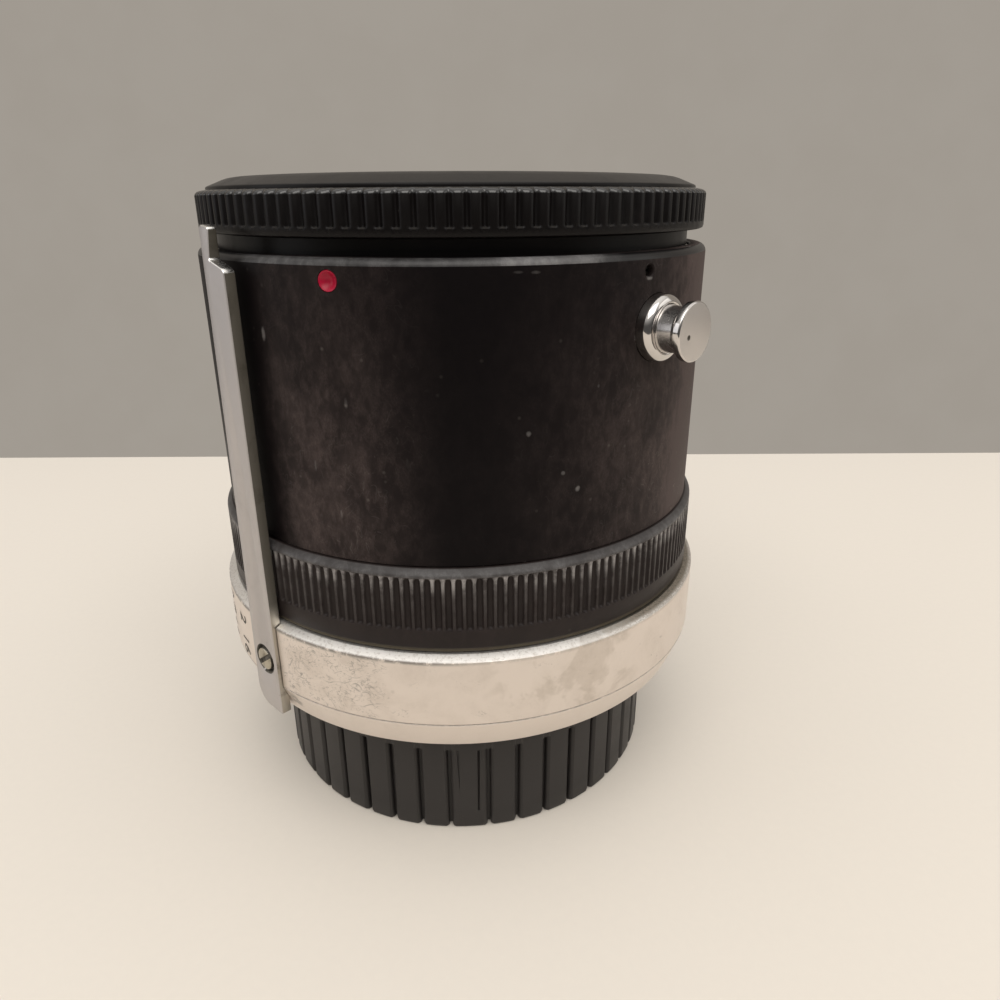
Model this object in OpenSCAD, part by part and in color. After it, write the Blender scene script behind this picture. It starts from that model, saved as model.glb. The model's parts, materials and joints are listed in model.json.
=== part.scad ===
// Camera teleconverter standing on its rear cap, lens end up.
// The origin is on the optical axis at the underside of the rear cap, with +Z towards the lens.
// Azimuths are in degrees about Z, counted from -Y (the front) towards +X.
// Lengths are in millimetres, radii run outwards from the glass and heights upwards from the rear cap.

/* [Optics] */
// Outer radius of the lens cell
cell_r = 16; // [15.4:0.1:16.6]
// Wall of the lens cell
cell_wall = 1.8; // [1.5:0.1:2.2]
// Room between the curved surfaces of the glass and their seats
seat_room = 0.2; // [0.1:0.05:0.8]
// Cell wall standing past the retaining rings
cell_lip = 1; // [0.5:0.1:2]
// Height of the cell above the chassis web
cell_rise = 4.5; // [3.5:0.1:6]
// Thickness of the retaining rings
retainer_t = 1.8; // [1.2:0.1:2.4]
// Width of the seats that hold the glass edges
glass_seat = 1.35; // [1.2:0.05:1.5]
// Rim thickness of the front lens
lens_1_rim = 5; // [4.2:0.1:6]
// Convex front surface of the front lens
lens_1_top = 70; // [50:1:120]
// Concave back surface of the front lens
lens_1_back = 28; // [26:0.5:40]
// Thickness of the front spacer
front_spacer_t = 3; // [2.6:0.1:4]
// Rim thickness of the second lens
lens_2_rim = 1.6; // [1.2:0.1:2.4]
// Convex front surface of the second lens
lens_2_top = 36; // [33:0.5:50]
// Convex back surface of the second lens
lens_2_back = 60; // [58:1:90]
// Thickness of the shoulder inside the cell
septum_t = 1.5; // [1.4:0.1:2.5]
// Rim thickness of the third lens
lens_3_rim = 4.6; // [4.2:0.1:5.4]
// Concave front surface of the third lens
lens_3_top = 60; // [55:1:90]
// Cemented surface between the third and fourth lenses
cement_face_r = 40; // [38:0.5:60]
// Thickness of the cement
cement_t = 0.02; // [0.01:0.01:0.05]
// Rim thickness of the fourth lens
lens_4_rim = 1.6; // [1.2:0.1:2.4]
// Convex back surface of the fourth lens
lens_4_back = 50; // [48:1:80]
// Thickness of the rear spacer
rear_spacer_t = 2; // [1.8:0.1:3]
// Rim thickness of the rear lens
lens_5_rim = 3.6; // [3.4:0.1:4.5]
// Concave front surface of the rear lens
lens_5_top = 32; // [31:0.5:50]
// Convex back surface of the rear lens
lens_5_back = 75; // [60:1:120]

/* [Diaphragm transfer] */
// Wall of the transfer ring
transfer_wall = 3.3; // [2.9:0.1:3.6]
// Height of the transfer ring
transfer_h = 3.9; // [3.2:0.1:4.5]
// Angle that the transfer ring turns through
transfer_turn = 22; // [15:1:24]
// Radial thickness of the levers
lever_t = 1.4; // [1:0.1:1.6]
// Width of the levers
lever_w = 3; // [2.4:0.1:3.6]
// Depth of the front lever's tip below the front mount
front_lever_depth = 5.1; // [4.6:0.1:7]
// Reach of the rear lever's tip past the rear flange
rear_lever_reach = 3.6; // [2:0.1:5]
// Azimuth of the front lever
front_lever_az = 150; // [140:1:165]
// Azimuth of the rear lever
rear_lever_az = -30; // [-45:1:-15]
// Radius of the lever screws
lever_screw_r = 0.6; // [0.5:0.05:0.8]
// Head radius of the lever screws
lever_head_r = 1.05; // [0.9:0.05:1.2]
// Head height of the lever screws
lever_head_t = 0.5; // [0.4:0.05:0.7]
// Width of the lock ring and of the cell's collar
collar_w = 1.2; // [1:0.05:1.3]
// Height of the cell's collar above the web
collar_t = 1.8; // [1.2:0.1:2.4]
// Height of the cell's lock ring below the web
lock_ring_t = 2; // [1.4:0.1:2.5]
// Thickness of the clip under the transfer ring
clip_t = 1; // [0.7:0.1:1.2]
// Depth of the clip's groove in the cell
clip_groove = 0.5; // [0.3:0.05:0.6]
// Reach of the spring ear on the transfer ring
ear_reach = 3.6; // [3.2:0.1:4]
// Width of the spring ear and of its stop
ear_w = 2; // [1.6:0.1:2.4]
// Azimuth of the spring ear
ear_az = 60; // [52:1:66]
// Angle between the spring ear and its stop
spring_arc = 32; // [30:1:36]
// Coil radius of the return spring
return_coil_r = 1.1; // [0.9:0.05:1.2]
// Turns of the return spring
return_turns = 7; // [5:1:8]

/* [Rear mount] */
// Gap between the levers and the rear throat
lever_room = 0.84; // [0.6:0.02:1.2]
// Wall of the rear bayonet's cylinder
pilot_wall = 2.1; // [1.8:0.1:2.6]
// Length of the rear bayonet below its flange
pilot_h = 5.4; // [5:0.1:6]
// Reach of the rear bayonet's lugs
lug_reach = 1.5; // [1.2:0.1:1.8]
// Thickness of the rear bayonet's lugs
lug_t = 1.8; // [1.4:0.1:2]
// Distance of the lugs from the end of the rear bayonet
lug_set = 0.3; // [0.2:0.05:0.5]
// Angle of one bayonet lug
lug_angle = 54; // [48:1:56]
// Azimuth of the middle of one rear lug
rear_lug_az = 0; // [-10:1:10]
// Thickness of the rear flange
flange_t = 1.8; // [1.5:0.1:2.4]
// Step of the rear flange past the chassis
flange_lip = 0.75; // [0.6:0.05:0.9]
// Distance of the silver ring's edge above the flange face
flange_show = 0.36; // [0.2:0.02:0.6]
// Radius of the lock hole in the rear flange
lock_hole_r = 1.2; // [1:0.1:1.4]
// Depth of the lock hole in the rear flange
lock_hole_h = 1.2; // [0.8:0.1:1.4]
// Azimuth of the lock hole in the rear flange
lock_hole_az = 75; // [70:1:80]
// Thread radius of the rear mount screws
rear_screw_r = 0.8; // [0.7:0.05:0.95]
// Head radius of the rear mount screws
rear_head_r = 1.35; // [1.2:0.05:1.5]
// Length of the rear mount screws
rear_screw_h = 5; // [4:0.1:8]
// Azimuth of the first rear mount screw
rear_screw_az = 40; // [35:1:45]

/* [Rear cap] */
// Room round the lugs inside the rear cap
cap_room = 1.2; // [1:0.1:1.6]
// Wall of the rear cap
rear_cap_wall = 1.85; // [1.7:0.01:2.3]
// Height of the rear cap
rear_cap_h = 16.8; // [15.6:0.1:18]
// Floor of the rear cap
rear_floor_t = 1.8; // [1.4:0.1:2.5]
// Height of the flutes
flute_h = 12.35; // [11:0.05:13.5]
// Number of flutes, counting the wide index land as none
flutes = 43; // [36:1:46]
// Azimuth of the middle of the index land
flute_az = 3.13; // [0:0.01:8]
// Angle across the index land
index_land = 10.73; // [8:0.01:14]
// Width of a flute's mouth
flute_mouth = 0.95; // [0.7:0.05:1.3]
// Depth of a flute's sloping shoulders
flute_shoulder = 0.28; // [0.2:0.02:0.4]
// Width of a flute's slot
flute_slot = 0.36; // [0.25:0.01:0.5]
// Depth of a flute's slot
flute_depth = 0.8; // [0.6:0.05:0.95]
// Width of the two index lines
index_line_w = 0.22; // [0.15:0.01:0.35]
// Depth of the two index lines
index_line_d = 0.2; // [0.15:0.01:0.4]
// Height of the lower end of the index lines
index_line_z = 2.8; // [1:0.1:5]
// Angle of the index lines from the middle of the land
index_line_az = 2.55; // [1.5:0.05:3.2]
// Lean of the index lines
index_line_lean = 1.6; // [0:0.1:3]
// Rounding of the rear cap's lower edge
rear_cap_edge = 0.6; // [0.3:0.05:0.9]
// Small chamfer of the two caps
cap_chamfer = 0.3; // [0.2:0.05:0.5]
// Reach of the tabs inside the rear cap
cap_tab_reach = 2.4; // [1.6:0.1:2.5]
// Thickness of the tabs inside the rear cap
cap_tab_t = 1.6; // [1.2:0.1:1.8]

/* [Front mount] */
// Room from the front lever out to the light baffle
baffle_room = 2.04; // [1.8:0.02:2.7]
// Reach of the tabs of the front bayonet
tab_reach = 2.1; // [1.8:0.1:2.5]
// Thickness of the tabs of the front bayonet
tab_t = 1.6; // [1.2:0.1:1.9]
// Angle of one tab of the front bayonet
tab_angle = 60; // [54:1:62]
// Azimuth of the middle of one tab of the front bayonet
tab_az = 0; // [-6:1:6]
// Thickness of the front mount
mount_t = 4; // [3.9:0.1:4.6]
// Depth of the front mount below the tube's top
mount_sink = 0.3; // [0.2:0.05:0.6]
// Step of the light baffle inside the tabs
baffle_set = 1.1; // [0.9:0.1:1.4]
// Wall of the light baffle
baffle_wall = 0.6; // [0.5:0.05:0.8]
// Length of the light baffle
baffle_h = 8.6; // [6:0.1:9.5]
// Thickness of the baffle's flange
baffle_flange_t = 1; // [0.8:0.05:1.2]
// Thickness of the mount's leaf springs
leaf_t = 0.3; // [0.2:0.02:0.35]
// Width of the mount's leaf springs
leaf_w = 1.5; // [1.2:0.1:1.6]
// Thread radius of the front mount screws
mount_screw_r = 0.85; // [0.7:0.05:0.95]
// Head radius of the front mount screws
mount_head_r = 1.5; // [1.3:0.05:1.6]
// Length of the front mount screws
mount_screw_h = 5.4; // [5:0.1:5.8]
// Azimuth of the first front mount screw
mount_screw_az = 0; // [-5:1:8]

/* [Chassis and tube] */
// Wall of the chassis round the front chamber
chassis_wall = 1.45; // [1.2:0.05:1.8]
// Wall of the chassis behind the web
lower_wall = 2.9; // [2.5:0.1:3.2]
// Depth of the front chamber below the front mount
chamber_h = 13.6; // [12.6:0.1:15]
// Thickness of the chassis web
web_t = 3; // [2.4:0.1:3.6]
// Thickness of the chassis top flange
top_flange_t = 1.75; // [1.7:0.05:2.1]
// Wall of the body tube
body_wall = 2; // [1.7:0.05:2.4]
// Height of the body tube
body_h = 30.89; // [28:0.01:34]
// Rounding of the tube's top edge
body_edge = 0.63; // [0.4:0.01:0.9]
// Radius of the index dot
dot_r = 1; // [0.8:0.05:1.3]
// Depth of the index dot
dot_t = 0.6; // [0.4:0.05:0.9]
// Distance of the index dot below the tube's top
dot_drop = 2.08; // [1.9:0.02:4]
// Azimuth of the index dot
dot_az = -19.75; // [-25:0.05:-15]
// Radius of the tube's set screws
set_screw_r = 0.58; // [0.5:0.02:0.7]
// Depth of the set screws below the tube's surface
set_screw_sink = 0.7; // [0.3:0.05:1]
// Length of the set screws
set_screw_l = 2.6; // [2.2:0.1:3]
// Distance of the set screws below the tube's top
set_screw_drop = 1.85; // [1.75:0.05:2.4]
// Azimuth of the set screw beside the button
set_screw_az = 41.77; // [40:0.01:44]

/* [Release button] */
// Azimuth of the button
button_az = 45; // [44:0.1:48]
// Distance of the button below the tube's top
button_drop = 7.6; // [7.55:0.01:7.9]
// Travel of the button
button_travel = 1.5; // [1:0.1:1.6]
// Radius of the button's head
head_r = 3.05; // [2.7:0.05:3.3]
// Thickness of the button's head
head_t = 1.4; // [1:0.05:1.8]
// Distance of the button's face from the tube's surface
button_reach = 4.68; // [4.4:0.02:5.4]
// Radius of the button's waist
waist_r = 2.5; // [2.3:0.05:2.55]
// Radius of the curve between waist and head
waist_fillet = 0.5; // [0.2:0.05:0.5]
// Rounding of the head's edge
head_edge = 0.25; // [0.1:0.05:0.4]
// Radius of the dimple in the button's face
dimple_r = 0.22; // [0.15:0.01:0.35]
// Radius of the button's inner shaft
shaft_r = 1.1; // [0.9:0.05:1.2]
// Radius of the collar's flange
collar_r = 3.5; // [3.35:0.05:3.8]
// Thickness of the collar's flange
collar_flange_t = 0.8; // [0.6:0.05:1]
// Rounding of the collar's flange
collar_edge = 0.45; // [0.3:0.05:0.5]
// Depth of the flat that the collar sits on
spot_depth = 0.22; // [0.2:0.02:0.3]
// Wall of the collar round the waist
collar_wall = 0.35; // [0.3:0.05:0.4]
// Floor of the collar round the inner shaft
collar_floor = 1.25; // [1:0.05:1.4]
// Thickness of the button's clip
button_clip_t = 0.4; // [0.3:0.05:0.5]
// Width of the button's clip past the shaft
button_clip_w = 0.38; // [0.3:0.02:0.4]
// Radius of the lock pin
lock_pin_r = 1.1; // [0.9:0.05:1.2]
// Height of the lock pin above the front mount
lock_pin_rise = 1.3; // [1:0.1:1.4]
// Wall between the lock pin's hole and the bayonet
lock_web = 0.4; // [0.35:0.05:0.7]
// Sideways offset of the lock pin from the button
lock_offset = 3.4; // [3.2:0.1:3.8]
// Depth of the lock pin's cam block towards the axis
cam_depth = 3; // [2.8:0.1:3.2]
// Height of the cam block below the button's axis
cam_drop = 4.5; // [4:0.1:5]
// Length of the spring guide under the cam block
guide_h = 2.5; // [1.5:0.1:3]
// Radius of the spring guide under the cam block
guide_r = 0.65; // [0.5:0.05:0.7]
// Turns of the lock pin's spring
lock_turns = 5; // [4:1:6]

/* [Coupling ring and grip] */
// Wall of the coupling ring's sleeve
sleeve_wall = 1.2; // [1:0.05:1.5]
// Wall of the grip ring
grip_wall = 1.54; // [1.25:0.02:1.8]
// Step from the grip ring out to the coupling ring
ring_step = 1.05; // [0.8:0.01:1.3]
// Taper of the coupling ring's foot
ring_taper = 1.45; // [1.1:0.01:1.6]
// Height of the coupling ring
ring_h = 12.44; // [11:0.02:14]
// Height of the tapered foot
foot_h = 3.88; // [3:0.02:5]
// Height of the coupling ring's upper chamfer
ring_chamfer_h = 0.48; // [0.4:0.02:0.9]
// Width of the turned line above the foot
ring_line_w = 0.2; // [0.12:0.02:0.35]
// Depth of the turned line above the foot
ring_line_d = 0.25; // [0.15:0.02:0.4]
// Height of the grip ring
grip_h = 10.06; // [9:0.02:12.5]
// Height of the groove under the grip ring
grip_neck_h = 0.55; // [0.4:0.05:0.9]
// Depth of the groove under the grip ring
grip_neck_d = 0.7; // [0.5:0.05:0.8]
// Height of the grip ring's plain band
grip_band_h = 2.32; // [1.6:0.02:3]
// Height of the grip ring's upper chamfer
grip_chamfer = 0.62; // [0.5:0.02:0.9]
// Number of ribs on the grip ring
grip_ribs = 180; // [120:4:200]
// Depth of the grooves between the ribs
grip_rib_d = 0.42; // [0.3:0.02:0.6]

/* [Coupling arm] */
// Azimuth of the arm
arm_az = -43.6; // [-50:0.1:-40]
// Width of the arm
arm_w = 5; // [4.6:0.05:6]
// Thickness of the arm
arm_t = 1.27; // [1:0.01:1.5]
// Gap between the arm and the grip ring
arm_gap = 0.25; // [0.2:0.01:0.4]
// Height of the arm's shoulder above the tube's top
arm_shoulder = -0.7; // [-2:0.05:0]
// Height of the finger above the tube's top
finger_rise = 2.65; // [1.6:0.05:3]
// Width of the finger
finger_w = 1.95; // [1.5:0.05:2.4]
// Rounding of the arm's shoulder
shoulder_r = 1.7; // [1.2:0.1:2]
// Rounding of the arm's lower corner
arm_corner_r = 3; // [2:0.1:3.6]
// Radius of the arm screw's thread
arm_screw_r = 0.8; // [0.6:0.05:0.9]
// Radius of the arm screw's head
arm_head_r = 1.5; // [1.3:0.05:1.7]
// Height of the arm screw's head above the arm
arm_head_rise = 0.2; // [0.1:0.02:0.3]
// Depth of the counterbore for the head
arm_head_sink = 0.5; // [0.4:0.02:0.6]
// Height of the screw above the coupling ring's lower edge
arm_screw_rise = 6.95; // [6.5:0.05:8]
// Length of the arm screw's thread in the ring
arm_screw_l = 2.4; // [2:0.1:2.5]
// Width of the screw's slot
slot_w = 0.5; // [0.35:0.05:0.6]
// Depth of the screw's slot
slot_d = 0.4; // [0.3:0.05:0.45]
// Angle of the screw's slot
slot_angle = 37; // [0:1:180]

/* [Front cap] */
// Step of the cap's rim inside the tube's radius
rim_inset = 0.5; // [0.2:0.01:0.8]
// Height of the cap's neck above the front mount
neck_h = 1.98; // [1.7:0.02:3]
// Height of the plain lip below the ribs
lip_h = 0.77; // [0.6:0.01:1.4]
// Height of the cap's ribs
rib_h = 3.23; // [2.5:0.01:3.8]
// Number of the cap's ribs
cap_ribs = 120; // [90:2:140]
// Depth of the cap's ribs
cap_rib_d = 0.5; // [0.35:0.05:0.7]
// Height of the plain land above the ribs
rib_land = 0.1; // [0.06:0.02:0.2]
// Height of the cap's sloping shoulder above the ribs
shoulder_h = 0.52; // [0.4:0.01:0.8]
// Width of the cap's sloping shoulder
shoulder_w = 1; // [0.8:0.05:1.4]
// Width of the turned groove between the shoulder and the disc
disc_set = 0.22; // [0.15:0.01:0.3]
// Height of the raised disc above the shoulder
disc_rise = 1.2; // [0.9:0.05:1.5]
// Width of the disc's sloping edge
disc_edge_w = 2.4; // [1.8:0.05:3]
// Height of the disc's sloping edge
disc_edge_h = 1.12; // [0.7:0.02:1.3]
// Width of the disc's crown outside its flat middle
crown_w = 3.8; // [2.5:0.1:5]
// Depth of the turned groove round the disc
disc_step_d = 0.2; // [0.15:0.01:0.3]
// Thickness of the cap's top plate
cap_top_t = 2; // [1.6:0.1:2.4]
// Wall of the cap's inner cylinder
cap_pilot_wall = 1.8; // [1.5:0.1:2.1]
// Length of the cap's inner cylinder
cap_pilot_h = 3.5; // [3:0.1:3.6]
// Thickness of the cap's lugs
cap_lug_t = 1.3; // [1:0.1:1.5]

/* [Clearances] */
// Radial clearance of turning and sliding fits
run_gap = 0.06; // [0.04:0.01:0.09]
// Radial clearance of fixed fits
seat_gap = 0.05; // [0.03:0.01:0.08]
// End play between turning and fixed faces
end_gap = 0.1; // [0.06:0.01:0.2]
// Free gap round moving pieces
side_gap = 0.3; // [0.25:0.01:0.35]

/* [Hidden] */
$fn = 96;

// Small overlap that lets a cut run past the face it opens
past = 1;
// Bayonet lugs and tabs come in threes, screws in fours, set screws in threes
lugs = 3;
screws = 4;
set_screws = 3;
// Sides and rings per turn of the sprung wire
wire_sides = 6;
wire_rings = 10;
wire_r = 0.18;
// Share of a rib's pitch that its crest, flanks and groove floor take
rib_crest = 0.3;
rib_flank = 0.16;
cap_rib_crest = 0.42;
cap_rib_flank = 0.14;
// Step from the plain bands in to the crests of the ribs
rib_set = 0.03;
// Points on a rounded profile's quarter turn
arc_steps = 8;
// Facets round the spherical surfaces of the glass
lens_facets = 240;

// Radii from the glass out to the rear cap
cell_bore = cell_r - cell_wall;
glass_r = cell_bore - seat_gap;
seat_r = glass_r - glass_seat;
clear_r = seat_r - seat_room;
transfer_bore = cell_r + run_gap;
transfer_r = transfer_bore + transfer_wall;
lever_in = transfer_r - lever_t;
collar_out = cell_r + collar_w;
clip_out = collar_out;
rear_throat_r = transfer_r + lever_room;
pilot_r = rear_throat_r + pilot_wall;
lug_r = pilot_r + lug_reach;
cap_in_r = lug_r + cap_room;
rear_cap_r = cap_in_r + rear_cap_wall;

// Radii from the front bayonet out to the rings
baffle_r = transfer_r + baffle_room;
throat_r = baffle_r + baffle_set;
recess_r = throat_r + tab_reach;
lock_r = recess_r + lock_web + lock_pin_r;
chamber_r = lock_r + lock_pin_r + side_gap;
chassis_r = chamber_r + chassis_wall;
lower_r = chassis_r - lower_wall;
tube_bore = chassis_r + seat_gap;
body_r = tube_bore + body_wall;
ring_bore = chassis_r + run_gap;
sleeve_r = ring_bore + sleeve_wall;
grip_bore = sleeve_r + seat_gap;
grip_r = grip_bore + grip_wall;
ring_r = grip_r + ring_step;
foot_r = ring_r - ring_taper;
flange_r = chassis_r + flange_lip;
baffle_out = baffle_r + baffle_wall;
baffle_flange_r = recess_r - seat_gap;
arm_in = grip_r + arm_gap;
rim_r = body_r - rim_inset;
neck_r = tube_bore - side_gap;
cap_pilot_r = throat_r - side_gap;
cap_hollow_r = cap_pilot_r - cap_pilot_wall;
cap_lug_r = recess_r - 2 * side_gap;
mount_screw_pcd = (recess_r + chassis_r) / 2;
rear_screw_pcd = chassis_r - lower_wall / 2;
leaf_r = (throat_r + recess_r) / 2;
ear_r = transfer_r + ear_reach;
spring_axis = transfer_r + side_gap + return_coil_r + wire_r;
spring_r = spring_axis / cos(spring_arc / 2);

// Heights from the rear cap up to the front cap
flange_z = rear_cap_h;
chassis_z = flange_z + flange_t;
ring_z = flange_z + flange_show;
grip_z = ring_z + ring_h;
grip_top = grip_z + grip_h;
tube_z = grip_top + end_gap;
tube_top = tube_z + body_h;
mount_top = tube_top - mount_sink;
mount_z = mount_top - mount_t;
top_flange_z = mount_z - top_flange_t;
web_top = mount_z - chamber_h;
web_z = web_top - web_t;
recess_top = mount_top - tab_t;
lip_z = mount_top + neck_h;
rib_z = lip_z + lip_h;
rib_top = rib_z + rib_h;
shoulder_top = rib_top + shoulder_h;
cap_top = shoulder_top + disc_rise;
button_z = tube_top - button_drop;

// Heights of the glass, from the top of the cell downwards
cell_top = web_top + cell_rise;
front_retainer_z = cell_top - cell_lip - retainer_t;
lens_1_z = front_retainer_z - lens_1_rim;
front_spacer_z = lens_1_z - front_spacer_t;
lens_2_z = front_spacer_z - lens_2_rim;
septum_z = lens_2_z - septum_t;
lens_3_z = septum_z - lens_3_rim;
lens_4_z = lens_3_z - lens_4_rim;
rear_spacer_z = lens_4_z - rear_spacer_t;
lens_5_z = rear_spacer_z - lens_5_rim;
rear_retainer_z = lens_5_z - retainer_t;
cell_z = rear_retainer_z - cell_lip;

// Heights of the transfer ring under the web
lock_ring_z = web_z - lock_ring_t;
transfer_top = lock_ring_z - end_gap;
transfer_z = transfer_top - transfer_h;
clip_z = transfer_z - end_gap - clip_t;
front_lever_top = mount_top - front_lever_depth;
rear_lever_z = flange_z - rear_lever_reach;

// Places along the button's axis, as distances from the optical axis
spot_u = body_r - spot_depth;
collar_top_u = spot_u + collar_flange_t;
face_u = body_r + button_reach;
head_u = face_u - head_t;
clip_u = chamber_r;
collar_end_u = clip_u + button_clip_t + seat_gap;
collar_floor_u = collar_end_u + collar_floor;
waist_end_u = collar_floor_u + button_travel + end_gap;
collar_hole_r = waist_r + run_gap + collar_wall;

// Places of the lock pin beside the button's axis
lock_u = sqrt(lock_r * lock_r - lock_offset * lock_offset);
cam_out = lock_u + lock_pin_r * 2 / 3;
cam_in = cam_out - cam_depth;
cam_side = lock_offset + lock_pin_r;
cam_split = shaft_r + button_clip_w + side_gap;
cam_z = button_z - cam_drop;
cam_step_z = button_z - shaft_r;
tip_u = cam_out - cam_depth / 2;
cam_sum = tip_u + button_z - end_gap;
lock_coil_r = guide_r + wire_r + seat_gap * 2;
arm_screw_z = ring_z + arm_screw_rise;
arm_screw_in = arm_in - arm_screw_l;
arm_head_u = arm_in + arm_t - arm_head_sink;

// Turns children that point along +Z to point outwards at an azimuth and height
module radial(azimuth, height) {
  translate([0, 0, height]) rotate([0, 0, azimuth - 90]) rotate([0, 90, 0]) children();
}

// Puts children drawn with X outwards and Y sideways at an azimuth
module at_azimuth(azimuth) {
  rotate([0, 0, azimuth - 90]) children();
}

// Extrudes an outline of sideways and upward distances outwards from a plane
module plate(azimuth, distance, thickness) {
  rotate([0, 0, azimuth]) translate([0, -distance, 0]) rotate([90, 0, 0])
    linear_extrude(thickness) children();
}

// Ring between two radii and two heights
module ring(inner, outer, low, high) {
  translate([0, 0, low]) difference() {
    cylinder(r = outer, h = high - low);
    translate([0, 0, -past]) cylinder(r = inner, h = high - low + 2 * past);
  }
}

// Part of a ring about the middle of an arc
module arc_ring(inner, outer, low, high, middle, angle) {
  rotate([0, 0, middle - angle / 2 - 90]) rotate_extrude(angle = angle)
    translate([inner, low]) square([outer - inner, high - low]);
}

// Places children at equal angles from a first azimuth
module around(count, first) {
  for (i = [0 : count - 1]) rotate([0, 0, first + i * 360 / count]) children();
}

// Outline of a ring of ribs: crest, flank, floor and flank in turn
module rib_outline(outer, depth, count, crest, flank) {
  pitch = 360 / count;
  stops = [[-crest / 2, outer], [crest / 2, outer], [crest / 2 + flank, outer - depth],
           [1 - crest / 2 - flank, outer - depth]];
  polygon([for (i = [0 : count - 1]) for (s = stops)
    [s[1] * cos((i + s[0]) * pitch), s[1] * sin((i + s[0]) * pitch)]]);
}

// Depth of a spherical surface over the clear radius
function sag(radius) = radius - sqrt(radius * radius - clear_r * clear_r);

// Points of a rounding about a centre between two angles
function arc_points(centre, radius, from, to) =
  [for (i = [0 : arc_steps]) let (a = from + (to - from) * i / arc_steps)
    centre + radius * [cos(a), sin(a)]];

// Spherical cap that rises above a plane over the clear radius
module dome(plane, radius) {
  intersection() {
    translate([0, 0, plane + sag(radius) - radius]) sphere(r = radius, $fn = lens_facets);
    translate([0, 0, plane]) cylinder(r = clear_r, h = radius);
  }
}

// Ball that hollows a face by its sag over the clear radius
module dish(plane, radius, side) {
  translate([0, 0, plane + side * (radius - sag(radius))]) sphere(r = radius, $fn = lens_facets);
}

// Disc of glass between its rims
module glass(low, high) {
  translate([0, 0, low]) cylinder(r = glass_r, h = high - low);
}

// Points of one ring of wire on a coil of a given slope
function wire_ring(coil_r, angle, height, slope) =
  [for (k = [0 : wire_sides - 1])
    let (b = k * 360 / wire_sides, out = coil_r + wire_r * cos(b), up = wire_r * sin(b))
      [out * cos(angle) + up * sin(slope) * sin(angle),
       out * sin(angle) - up * sin(slope) * cos(angle),
       height + up * cos(slope)]];

// Coil spring standing on z = 0
module coil(coil_r, turns, length) {
  rings = turns * wire_rings;
  rise = length - 2 * wire_r;
  slope = atan2(rise, 2 * PI * coil_r * turns);
  points = [for (i = [0 : rings]) each
    wire_ring(coil_r, i * 360 / wire_rings, wire_r + rise * i / rings, slope)];
  last = rings * wire_sides;
  walls = [for (i = [0 : rings - 1]) for (k = [0 : wire_sides - 1])
    let (a = i * wire_sides + k, b = i * wire_sides + (k + 1) % wire_sides)
      each [[a, a + wire_sides, b], [b, a + wire_sides, b + wire_sides]]];
  ends = [for (k = [1 : wire_sides - 2]) each [[0, k, k + 1], [last, last + k + 1, last + k]]];
  polyhedron(points = points, faces = concat(walls, ends));
}

// Countersunk screw with its head's face at z = 0 and its thread below
module countersunk(thread_r, head, length) {
  difference() {
    rotate_extrude() polygon([[0, -length], [thread_r, -length], [thread_r, thread_r - head],
      [head, 0], [0, 0]]);
    for (turn = [0, 90]) rotate([0, 0, turn])
      translate([-head / 2, -slot_w / 2, -slot_d]) cube([head, slot_w, slot_d + past]);
  }
}

// Hole for a countersunk screw, wider by the fixed clearance
module countersunk_hole(thread_r, head, length) {
  narrow = thread_r + seat_gap;
  wide = head + seat_gap;
  rotate_extrude() polygon([[0, -length - seat_gap], [narrow, -length - seat_gap], [narrow, narrow - wide],
    [wide, 0], [wide, past], [0, past]]);
}

module rear_cap() {
  pitch = (360 - index_land) / flutes;
  color("#34312f") difference() {
    union() {
      difference() {
        rotate_extrude() polygon(concat(
          [[0, 0]], arc_points([rear_cap_r - rear_cap_edge, rear_cap_edge], rear_cap_edge, -90, 0),
          [[rear_cap_r, rear_cap_h - cap_chamfer], [rear_cap_r - cap_chamfer, rear_cap_h], [0, rear_cap_h]]));
        translate([0, 0, rear_floor_t]) cylinder(r = cap_in_r, h = rear_cap_h);
      }
      for (i = [0 : lugs - 1])
        arc_ring(cap_in_r - cap_tab_reach, cap_in_r + rear_cap_wall / 2, flange_z - cap_tab_t - end_gap,
          flange_z - end_gap, rear_lug_az + (2 * i + 1) * 180 / lugs, lug_angle);
    }
    for (i = [0 : flutes])
      rotate([0, 0, flute_az + index_land / 2 + i * pitch]) translate([0, -rear_cap_r, -past])
        linear_extrude(flute_h + past) flute_outline();
    for (side = [-1, 1])
      rotate([0, 0, flute_az + side * index_line_az])
        translate([0, -rear_cap_r, index_line_z]) rotate([0, side * index_line_lean, 0])
          translate([-index_line_w / 2, -past, 0])
            cube([index_line_w, past + index_line_d, flute_h - index_line_z]);
  }
}

// Section of a flute in the rear cap, with the cap's surface along X
module flute_outline() {
  polygon([[-flute_mouth / 2, 0], [-flute_mouth / 2, -past], [flute_mouth / 2, -past], [flute_mouth / 2, 0],
    [flute_slot / 2, flute_shoulder], [flute_slot / 2, flute_depth],
    [-flute_slot / 2, flute_depth], [-flute_slot / 2, flute_shoulder]]);
}

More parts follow.
